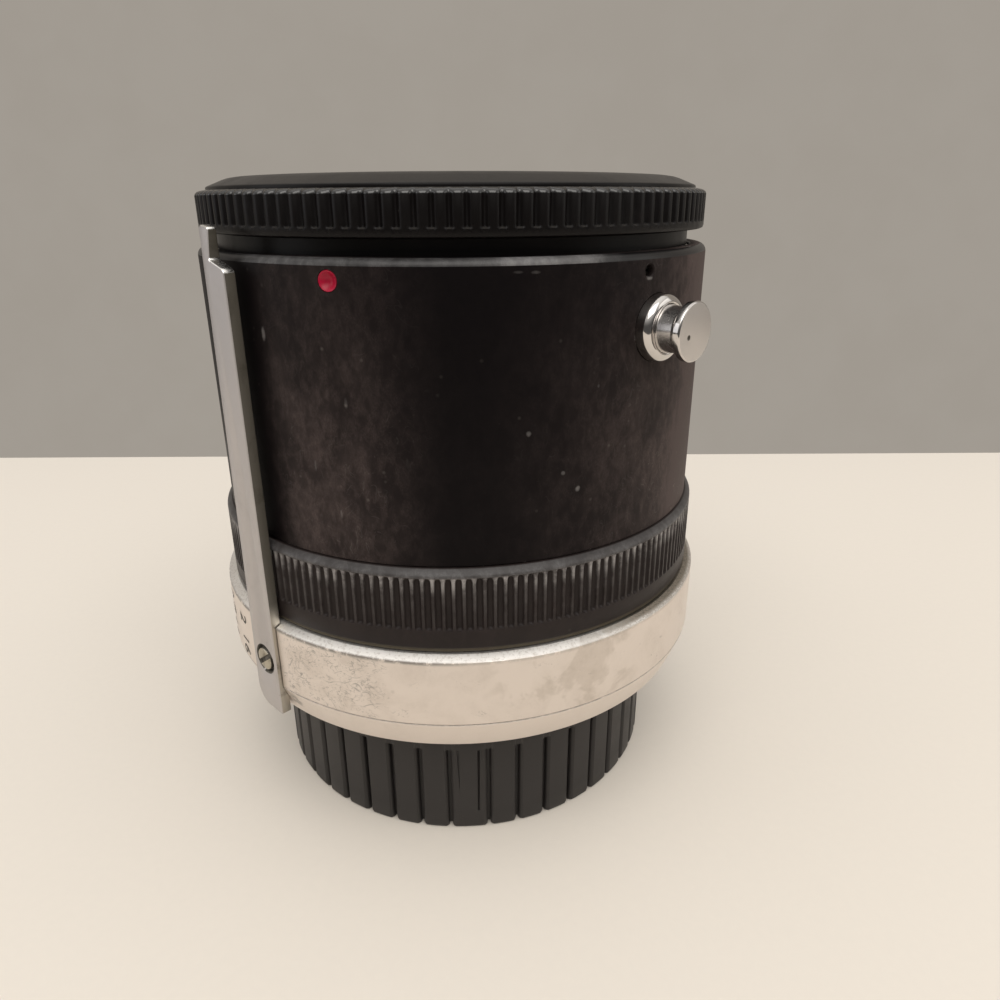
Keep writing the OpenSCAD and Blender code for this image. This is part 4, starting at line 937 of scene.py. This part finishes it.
class CONVERTER_OT_rear_cap(bpy.types.Operator):
    """Fluted rear cap with its index lines and inner tabs"""

    bl_idname = "converter.rear_cap"
    bl_label = "Rear Cap"

    def execute(self, context):
        s = context.scene.converter_sizes
        radius, top, bore = s.rear_cap_radius / MM, s.rear_cap_top / MM, s.rear_cap_bore / MM
        flute_top, flute_depth = s.flute_top / MM, s.flute_depth / MM
        pitch = (TURN - s.index_land) / s.flutes
        slot, mouth, shoulder = 0.19, 0.6, 0.42
        line_low, line_depth = 2.8, 0.2

        def groove(side):
            """Depth of a flute at a distance from its middle."""
            if side <= slot + 0.005:
                return flute_depth
            if side >= mouth:
                return 0.0
            return shoulder * (1 - (side - slot) / (mouth - slot)) ** 1.6

        def column(depth, line=0.0, lean=0.0):
            """Section of the cap where its skin lies deeper by a flute or a leaning index line."""
            skin = radius - depth
            return [
                (bore - 0.9, 1.8), (bore - 0.25, 2.05), (bore, 2.7), (bore, top - 0.25), (bore + 0.25, top),
                (radius - 0.3, top), (radius - 0.09, top - 0.09), (radius, top - 0.3),
                (radius, flute_top + 0.12), (skin, flute_top - 0.02), (skin - line, flute_top - 0.1),
                (skin - line, line_low, lean), (skin, line_low - 0.1, lean), (skin, 0.62),
                (skin - 0.17, 0.18), (skin - 0.6, 0.0), (bore - 2.0, 0.0),
            ]

        sides = [slot, slot + 0.03, slot + 0.1, slot + 0.2, mouth, mouth + 0.25]
        strip = both_ways([x / radius for x in sides] + [pitch * 0.34, pitch / 2])
        cap = sector("rear_cap_visual", strip, lambda a: column(groove(abs(a) * radius)))
        half = s.index_land / 2
        repeat(cap, s.flutes - 1, pitch, s.index_azimuth + half + pitch, finish("Rear Cap Satin"))

        # Index lines: degrees from the middle of the land, and degrees by which the lower end leans
        lines = ((-2.9, 0.85), (2.6, -0.2))
        width, edge = 0.11 / radius, 0.14 / radius
        marks = {}
        for middle, lean in lines:
            for shift, depth in ((-edge, 0.0), (-width, line_depth), (width, line_depth), (edge, 0.0)):
                marks[math.radians(middle) + shift] = (depth, math.radians(lean))
        flanks = {side + a for side in (-half, half) for a in strip}

        def index_column(a):
            if a in marks:
                return column(0.0, *marks[a])
            return column(groove(min(abs(a + half), abs(a - half)) * radius))

        land = sector("rear_cap_index", sorted(flanks | set(marks) | {0.0}), index_column)
        place(land, Matrix.Rotation(s.index_azimuth, 4, "Z"))
        close(join(cap, land))
        tab = rounded([(22.6, 15.1, 0.2), (25.4, 15.1, 0), (25.4, 16.7, 0), (22.6, 16.7, 0.2)])
        join(cap, *bayonet_tabs("rear_cap_tab", tab))
        dress(cap, "Rear Cap Satin", "cap_satin", "rear_cap", "rear_cap")
        return {"FINISHED"}


class CONVERTER_OT_front_cap(bpy.types.Operator):
    """Ribbed front cap with its raised disc, neck and lugs"""

    bl_idname = "converter.front_cap"
    bl_label = "Front Cap"

    def execute(self, context):
        s = context.scene.converter_sizes
        radius, disc, rib_depth = s.cap_radius / MM, s.disc_radius / MM, s.cap_depth / MM
        pitch = TURN / s.cap_ribs
        crest, valley = 0.2 * pitch, 0.5 * pitch

        def column(a):
            """Section of the cap at an angle from the middle of a rib."""
            share = max(0.0, (abs(a) - crest) / (valley - crest))
            deep = rib_depth * (0.5 - 0.5 * math.cos(math.pi * share))
            rim = radius - (0.06 if abs(a) > crest * 0.6 else 0.0)
            return [
                (4, 78.05), (23.1, 78.05), (25.0, 78.03), (26.1, 77.97), (26.8, 77.87), (27.4, 77.69),
                (disc - 0.3, 77.06), (disc - 0.1, 76.97), (disc - 0.03, 76.86), (disc - 0.03, 76.62),
                (disc + 0.32, 76.62), (disc + 0.42, 76.59), (rim - 0.6 - deep * 0.2, 76.56),
                (rim - 0.3 - deep * 0.55, 76.45), (rim - 0.1 - deep * 0.85, 76.28), (rim - deep, 76.08),
                (rim - deep, 73.45), (rim - deep * 0.8, 73.27), (radius - deep * 0.3, 73.16),
                (radius, 73.1), (radius, 72.65), (radius - 0.1, 72.42), (radius - 0.3, 72.33),
                (28.9, 72.33), (28.7, 72.15), (28.7, 70.5), (28.55, 70.35), (22.2, 70.35), (22.2, 67.05),
                (22.0, 66.85), (20.6, 66.85), (20.4, 67.05), (20.4, 75.65), (20.0, 76.05), (4, 76.05),
            ]

        steps = [crest * 0.6] + [crest + (valley - crest) * k / 5 for k in range(5)]
        cap = sector("front_cap_visual", both_ways(steps + [valley]), column)
        repeat(cap, s.cap_ribs, pitch, math.radians(0.6), finish("Front Cap Gloss"))
        close(cap)
        hole = drill("pin_hole", 1.4, 69.5, 71.95, 32)
        place(hole, Matrix.Translation(polar(26.1 * MM, s.button_azimuth + math.radians(7.48), 0)))
        cut(cap, hole)
        lug = rounded([(21.6, 67.15, 0), (24.0, 67.15, 0.2), (24.0, 68.45, 0.2), (21.6, 68.45, 0)])
        join(cap, *bayonet_tabs("front_cap_lug", lug))

        def on_shoulder(face):
            out = math.hypot(face.center.x, face.center.y)
            return int(76.12 * MM < face.center.z < 76.65 * MM and out > disc * MM)

        paint(cap, ("Front Cap Gloss", "Front Cap Shoulder"), on_shoulder)
        dress(cap, "Front Cap Gloss", "cap_gloss", "front_cap", "front_cap")
        return {"FINISHED"}


class CONVERTER_OT_tube(bpy.types.Operator):
    """Black tube with its rounded edge, index dot and set screw holes"""

    bl_idname = "converter.tube"
    bl_label = "Tube"

    def execute(self, context):
        s = context.scene.converter_sizes
        radius, bore = s.tube_radius / MM, s.tube_bore / MM
        low, high, edge = s.tube_low / MM, s.tube_high / MM, s.tube_edge / MM
        outline = rounded([(bore, low, 0.1), (radius, low, 0.12), (radius, high, edge), (bore, high, 0.2)], 8)
        tube = lathe("body_tube_visual", outline, 320)
        at_button = radial_frame(s.button_azimuth, s.button_height)
        at_dot = radial_frame(s.dot_azimuth, s.dot_height)
        cutters = [
            place(drill("spot_face", 3.55, 30.78, 33, 64), at_button),
            place(drill("button_hole", 2.96, 27, 33, 64), at_button),
            place(drill("dot_hole", 1.05, 30.3, 33, 48), at_dot),
        ]
        screw_hole = rounded([
            (0, 27, 0), (0.63, 27, 0), (0.63, 30.85, 0), (0.78, 31.0, 0), (0.78, 33, 0), (0, 33, 0)])
        for k in range(3):
            hole = lathe("screw_hole", screw_hole, 32, False)
            azimuth = s.set_screw_azimuth + TURN * k / 3
            cutters.append(place(hole, radial_frame(azimuth, s.set_screw_height)))
        cut(tube, *cutters)
        close(tube, fill=False)

        # Faces of the rounded upper edge take the Tube Edge finish, whose grey in front is a painted
        # highlight with some rubbed wear.
        def on_edge(face):
            return int(face.center.z > (high - edge) * MM and 0.12 < face.normal.z < 0.97)

        paint(tube, ("Tube Black", "Tube Edge"), on_edge)
        dress(tube, "Tube Black", "tube_black", "converter", "body_tube")

        dish = [(0.0, 30.32), (1.0, 30.32), (1.0, 30.94), (0.97, 30.98), (0.9, 30.96), (0.74, 30.78),
                (0.5, 30.6), (0.25, 30.49), (0.0, 30.45)]
        dot = place(lathe("index_dot_visual", dish, 48, False), at_dot)
        close(dot, fill=False)
        dress(dot, "Index Red", "red_paint", "converter", "index_dot", sharp=60)
        return {"FINISHED"}


class CONVERTER_OT_grip(bpy.types.Operator):
    """Grip ring with round-ended flutes between its ribs"""

    bl_idname = "converter.grip"
    bl_label = "Grip Ring"

    def execute(self, context):
        s = context.scene.converter_sizes
        radius, top, rib_depth = s.grip_radius / MM, s.grip_high / MM, s.grip_depth / MM
        pitch = TURN / s.grip_ribs
        half = 0.36 * pitch
        low, high = 32.47, 38.8
        low_bend, high_bend = 0.35, 0.75
        heights = [38.55, 38.37, 38.15, 37.9, 37.55, 36.0, 34.0, 32.92, 32.72, 32.58]

        def depth(a, z):
            """Depth of a flute with rounded ends."""
            across = min(1.0, abs(a) / half)
            along = max(0.0, (z - (high - high_bend)) / high_bend, (low + low_bend - z) / low_bend)
            inside = across ** 2.6 + along ** 2.2
            return rib_depth * max(0.0, 1 - inside) ** 0.6

        def column(a):
            """Section of the ring at an angle from the middle of a flute."""
            skin = [(radius - depth(a, z), z) for z in heights]
            return [
                (30.26, 29.62), (30.26, 39.5), (30.4, top), (radius - 0.64, top), (radius - 0.56, 39.6),
                (radius - 0.08, 39.1), (radius - 0.02, 38.97), (radius, high), *skin, (radius, low),
                (radius, 30.4), (radius - 0.08, 30.28), (radius - 0.2, 30.25), (radius - 0.24, 30.2),
                (radius - 0.24, 29.78), (radius - 0.7, 29.7), (radius - 0.7, 29.62), (30.26, 29.62),
            ]

        strip = both_ways([half * x for x in (0.35, 0.65, 0.85, 0.97, 1.02)] + [pitch / 2])
        ring = sector("grip_ring_visual", strip, column)
        repeat(ring, s.grip_ribs, pitch, 0.0, finish("Grip Black"))
        close(ring, fill=False)

        def edge_or_neck(face):
            out, z = math.hypot(face.center.x, face.center.y) / MM, face.center.z / MM
            if z > 38.82 and 0.05 < face.normal.z < 0.95:
                return 1
            return 2 if 29.79 < z < 30.19 and out > radius - 0.3 else 0

        paint(ring, ("Grip Black", "Grip Edge", "Dusty Neck"), edge_or_neck)
        dress(ring, "Grip Black", "grip_black", "coupling", "grip_ring", sharp=40)
        return {"FINISHED"}


class CONVERTER_OT_coupling_ring(bpy.types.Operator):
    """Silver coupling ring with its tapered foot, turned line and scale numbers"""

    bl_idname = "converter.coupling_ring"
    bl_label = "Coupling Ring"

    def execute(self, context):
        s = context.scene.converter_sizes
        radius, low, high, line = s.ring_radius / MM, s.ring_low / MM, s.ring_high / MM, s.ring_line / MM
        outline = rounded([
            (30.0, low, 0.1), (radius - 1.45, low, 0.14), (radius - 0.02, line - 0.2, 0.03),
            (radius - 0.26, line - 0.1, 0.02), (radius, line, 0.03), (radius, high - 0.48, 0.09),
            (radius - 1.05, high, 0.07), (30.21, high, 0), (30.21, 39.56, 0), (29.01, 39.56, 0),
            (29.01, 18.7, 0), (30.0, 18.7, 0)])
        ring = lathe("coupling_ring_visual", outline, 320)
        half, inner, beyond = s.arm_width / 2 / MM + 0.06, s.arm_inside / MM - 0.01, 5
        pocket = block("pocket", (-half, half), (low - beyond, high + beyond), (inner, 50))
        cut(ring, place(pocket, radial_frame(s.arm_azimuth, 0)))
        close(ring, fill=False)
        dress(ring, "Satin Silver", "satin_silver", "coupling", "coupling_ring", sharp=28)

        stops = ("2", "2.8", "4", "5.6", "8", "11", "16")
        first_stop, stop_pitch, size, lift = -55.6, 9.5, 3.1 * MM, 0.03 * MM
        numbers = []
        for height, row in ((26.5 * MM, stops), (22.7 * MM, stops[::-1])):
            for k, text in enumerate(row):
                azimuth = math.radians(first_stop - stop_pitch * k)
                numbers.append(bent_text(text, size, s.ring_radius, azimuth, height, lift))
        scale = join(*numbers)
        scale.name = "scale_numbers"
        scale.data.materials.clear()
        dress(scale, "Scale Ink", "satin_silver", "coupling")
        return {"FINISHED"}


class CONVERTER_OT_arm(bpy.types.Operator):
    """Chrome coupling arm with its finger and slotted screw"""

    bl_idname = "converter.arm"
    bl_label = "Coupling Arm"

    def execute(self, context):
        s = context.scene.converter_sizes
        half, low, thick = s.arm_width / 2 / MM, s.ring_low / MM, s.arm_thickness
        finger = half - 3.25
        outline = rounded([
            (half, low, 0.12), (half, 69.35, 0.6), (finger, 70.1, 0.35), (finger, 73.15, 0.3),
            (-half, 73.45, 0.45), (-half, low, 3.0)], 6)
        count = len(outline)
        points = [(x * MM, y * MM, z) for z in (0, thick) for x, y in outline]
        faces = [tuple(range(count)), tuple(range(2 * count - 1, count - 1, -1))]
        faces += [(k, (k + 1) % count, count + (k + 1) % count, count + k) for k in range(count)]
        arm = mesh_object("coupling_arm_visual", points, faces)
        close(arm, fill=False)
        screw_z, taper_z, shoulder_z, finger_z = 24.11, 42.0, 69.95, 73.3
        lean, set_back, narrower = 0.012, 0.32 * MM, 0.6 * MM

        def share(z, low_z, high_z):
            return max(0.0, min(1.0, (z / MM - low_z) / (high_z - low_z)))

        for v in arm.data.vertices:
            if v.co.x > (half - 1) * MM:
                v.co.x -= narrower * share(v.co.y, taper_z, shoulder_z)
            if v.co.z > thick / 2:
                v.co.z -= set_back * share(v.co.y, shoulder_z, finger_z)
            v.co.x += lean * (v.co.y - screw_z * MM)
        bevel = arm.modifiers.new("Edges", "BEVEL")
        bevel.width = 0.24 * MM
        bevel.segments = 3
        bevel.limit_method = "ANGLE"
        bevel.angle_limit = math.radians(50)
        plain(arm)
        place(arm, Matrix.Translation((0, 0, s.arm_inside)))
        face_u = (s.arm_inside + thick) / MM
        sink = lathe("sink", rounded([
            (0, 30, 0), (0.88, 30, 0), (0.88, face_u - 0.54, 0), (1.75, face_u - 0.54, 0),
            (1.75, face_u - 0.2, 0), (1.98, face_u + 0.01, 0), (1.98, 35, 0), (0, 35, 0)]), 48, False)
        cut(arm, place(sink, Matrix.Translation((0, screw_z * MM, 0))))

        def arm_finish(face):
            inside = math.hypot(face.center.x, face.center.y - screw_z * MM) < 2.05 * MM
            flat = face.normal.z > 0.5 and not (inside and face.center.z < (face_u - 0.05) * MM)
            # Faces on top of the shoulder and finger take a lighter, glossier copy of the chrome: a painted
            # highlight.
            if face.normal.y > 0.25 and face.center.y > 60 * MM:
                return 2
            if flat or (face.normal.z > 0.15 and not inside):
                return 0
            # Faces inside the screw's sink take the dark Scale Ink finish, so the recess is painted dark.
            return 3 if inside else 1

        paint(arm, ("Arm Chrome", "Arm Edge", "Arm Polished Highlight", "Scale Ink"), arm_finish)
        place(arm, radial_frame(s.arm_azimuth, 0))
        dress(arm, "Arm Chrome", "arm_chrome", "coupling", "coupling_arm", sharp=50)

        head = lathe("arm_screw_visual", rounded([
            (0, 29.7, 0), (0.8, 29.7, 0.1), (0.8, face_u - 0.5, 0), (1.4, face_u - 0.5, 0),
            (1.4, face_u + 0.1, 0.14), (0.6, face_u + 0.2, 0), (0, face_u + 0.2, 0)]), 48, False)
        slot = block("slot", (-2.2, 2.2), (-0.3, 0.3), (face_u - 0.22, 50))
        cut(head, place(slot, Matrix.Rotation(math.radians(37), 4, "Z")))
        # The screw's slot and the head below its face take the dark Scale Ink finish, so they are painted
        # dark.
        paint(head, ("Screw Nickel", "Scale Ink"), lambda face: int(face.center.z < (face_u + 0.04) * MM))
        place(head, radial_frame(s.arm_azimuth, screw_z * MM))
        close(head, fill=False)
        dress(head, "Screw Nickel", "screw_nickel", "coupling", "arm_screw")
        return {"FINISHED"}


class CONVERTER_OT_button(bpy.types.Operator):
    """Chrome release button with its collar"""

    bl_idname = "converter.button"
    bl_label = "Release Button"

    def execute(self, context):
        s = context.scene.converter_sizes
        out = radial_frame(s.button_azimuth, s.button_height)
        waist = arc((3.05, 34.15), 0.8, 180, 90, -10)
        edge = arc((2.85, 35.48), 0.2, 0, 90, 15)
        body = [(0.0, 24.3), (1.1, 24.3), (1.1, 30.9), (2.54, 30.9), (2.54, 32.4), *waist, *edge,
                (0.0, 35.68)]
        button = lathe("release_button_visual", body, 96, False)
        slope = ((-4, 29.1), (4, 21.1), (-4, 20), (4, 20))
        corners = [(x * MM, y * MM, z * MM) for x in (-3, 3) for y, z in slope]
        wedge = mesh_object("wedge", corners, BOX_SIDES)
        dimple = lathe("dimple", [(0, 35.4), (0.5, 35.9), (0, 35.9)], 24, False)
        dimple_x, dimple_y = -1.2 * MM, -0.43 * MM
        place(dimple, Matrix.Translation((dimple_x, dimple_y, 0)))
        cut(button, wedge, dimple)

        def button_finish(face):
            spot = face.center
            if spot.z > 35.3 * MM and math.hypot(spot.x - dimple_x, spot.y - dimple_y) < 0.29 * MM:
                return 3
            if spot.z > 35.4 * MM and face.normal.z > 0.9 and math.hypot(spot.x, spot.y) < 2.9 * MM:
                return 1
            return 2 if 32.3 * MM < spot.z < 34.5 * MM else 0

        paint(button, ("Polished Chrome", "Button Face", "Button Waist", "Scale Ink"), button_finish)
        close(place(button, out), fill=False)
        dress(button, "Polished Chrome", "polished_chrome", "button", "release_button", sharp=40)

        rim = arc((2.65, 31.7), 0.85, 0, 90, 10)
        ring = [(1.16, 27.95), (2.91, 27.95), (2.91, 30.78), (3.5, 30.78), *rim, (2.56, 32.5),
                (2.56, 29.2), (1.16, 29.2)]
        collar = lathe("button_collar_visual", ring, 96)
        close(place(collar, out), fill=False)
        dress(collar, "Polished Chrome", "polished_chrome", "converter", "button_collar", sharp=40)
        return {"FINISHED"}


class CONVERTER_OT_springs(bpy.types.Operator):
    """Coil springs copied from their CAD coils"""

    bl_idname = "converter.springs"
    bl_label = "Springs"

    def execute(self, context):
        low, high = (Vector(corner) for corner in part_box("return_spring"))
        middle = (low + high) / 2
        round_axis = Vector((-middle.y, middle.x, 0)).normalized()
        springs = (
            ("lock_spring", "button_press", Vector((0, 0, -1)), 0.73),
            ("return_spring", "transfer_turn", round_axis, 0.22),
        )
        for node, joint, to_fixed_end, closed in springs:
            coil = frame["nodes"][node]
            spring = linked(node + "_visual", coil.data.copy())
            place(spring, coil.matrix_world)
            spring.data.materials.clear()
            dress(spring, "Spring Steel", "spring_steel", "converter", node)
            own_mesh(spring)
        return {"FINISHED"}


class CONVERTER_OT_inner_pieces(bpy.types.Operator):
    """Finishes of the pieces that keep their CAD shapes"""

    bl_idname = "converter.inner_pieces"
    bl_label = "Inner Pieces"

    def execute(self, context):
        finishes = {
            "inner_black": "Inner Black", "mount_chrome": "Mount Chrome", "steel": "Plain Steel",
            "dark_steel": "Dark Steel", "spring_steel": "Spring Steel", "brass": "Turned Brass",
            "glass": "Coated Glass",
        }
        slots = {part["node"]: part["material_slot"] for part in frame["record"]["subparts"]}
        for node, piece in frame["nodes"].items():
            if not piece.hide_render:
                for holder in piece.material_slots:
                    holder.material = finish(finishes[slots[node]])
        return {"FINISHED"}


class CONVERTER_OT_stage(bpy.types.Operator):
    """Pale floor, plain backdrop, soft light and camera"""

    bl_idname = "converter.stage"
    bl_label = "Stage"

    def execute(self, context):
        scene = context.scene
        left, right, front, rear, behind, high = -0.6, 0.6, -0.26, 0.6, 0.126, 0.3
        corners = [(left, front, 0), (right, front, 0), (right, rear, 0), (left, rear, 0)]
        floor = mesh_object("stage_floor", corners, [(0, 1, 2, 3)])
        floor.data.materials.append(finish("Pale Floor"))
        corners = [(left, behind, 0), (right, behind, 0), (right, behind, high), (left, behind, high)]
        back = mesh_object("stage_backdrop", corners, [(0, 1, 2, 3)])
        back.data.materials.append(finish("Plain Backdrop"))

        world = bpy.data.worlds.new("Soft Room")
        world.use_nodes = True
        n = Nodes(world.node_tree)
        height = n.parts(n.add("ShaderNodeTexCoord").outputs["Object"])["Z"]
        n.fill(world.node_tree.nodes["Background"], {
            "Color": (1.0, 0.975, 0.94, 1),
            "Strength": n.ramp(height, 0.1, 0.95, 0.1, 1.15),
        })
        scene.world = world

        # Soft lamps: place, aim, size, power and colour
        lamps = {
            "Overhead": ((0.03, -0.36, 0.55), (0, -0.02, 0.0), (0.7, 0.4), 2.1, (1.0, 0.97, 0.92)),
            "Right": ((0.5, -0.05, 0.22), (0, 0, 0.04), (0.3, 0.3), 0.3, (1.0, 0.97, 0.92)),
            "Left": ((-0.5, -0.1, 0.2), (0, 0, 0.04), (0.3, 0.3), 0.3, (0.98, 0.98, 1.0)),
        }
        for name, (place_at, aim, size, power, tint) in lamps.items():
            data = bpy.data.lights.new(name, "AREA")
            data.shape = "RECTANGLE"
            data.size, data.size_y = size
            data.energy = power
            data.color = tint
            light = linked(name, data)
            light.location = place_at
            light.rotation_euler = (Vector(aim) - Vector(place_at)).to_track_quat("-Z", "Y").to_euler()

        data = bpy.data.cameras.new("Photo View")
        data.lens = 27.185
        data.sensor_width = 36.0
        data.clip_start = 0.005
        camera = linked("Photo View", data)
        camera.location = (0.0054916, -0.1018697, 0.0755819)
        tilt, roll = math.radians(68.2585), math.radians(-0.2924)
        camera.rotation_euler = (Matrix.Rotation(tilt, 4, "X") @ Matrix.Rotation(roll, 4, "Z")).to_euler()
        scene.camera = camera
        scene.view_settings.view_transform = "Standard"
        return {"FINISHED"}


PIECES = (
    CONVERTER_OT_rear_cap, CONVERTER_OT_front_cap, CONVERTER_OT_tube, CONVERTER_OT_grip,
    CONVERTER_OT_coupling_ring, CONVERTER_OT_arm, CONVERTER_OT_button, CONVERTER_OT_springs,
    CONVERTER_OT_inner_pieces, CONVERTER_OT_stage,
)


class CONVERTER_PT_panel(bpy.types.Panel):
    """Lists the converter's pieces"""

    bl_idname = "CONVERTER_PT_panel"
    bl_label = "Converter"
    bl_space_type = "VIEW_3D"
    bl_region_type = "UI"
    bl_category = "Converter"

    def draw(self, context):
        column = self.layout.column()
        for piece in PIECES:
            column.operator(piece.bl_idname)
        for group in (context.scene.converter_sizes, context.scene.converter_finishes):
            for key in group.__annotations__:
                column.prop(group, key)


CLASSES = (ConverterSizes, ConverterFinishes, *PIECES, CONVERTER_PT_panel)


def register():
    for kind in CLASSES:
        bpy.utils.register_class(kind)
    bpy.types.Scene.converter_sizes = PointerProperty(type=ConverterSizes)
    bpy.types.Scene.converter_finishes = PointerProperty(type=ConverterFinishes)


def unregister():
    del bpy.types.Scene.converter_finishes
    del bpy.types.Scene.converter_sizes
    for kind in reversed(CLASSES):
        bpy.utils.unregister_class(kind)


def main():
    register()
    bpy.ops.converter.rear_cap()
    bpy.ops.converter.front_cap()
    bpy.ops.converter.tube()
    bpy.ops.converter.grip()
    bpy.ops.converter.coupling_ring()
    bpy.ops.converter.arm()
    bpy.ops.converter.button()
    bpy.ops.converter.springs()
    bpy.ops.converter.inner_pieces()
    bpy.ops.converter.stage()


if __name__ == "__main__":
    main()
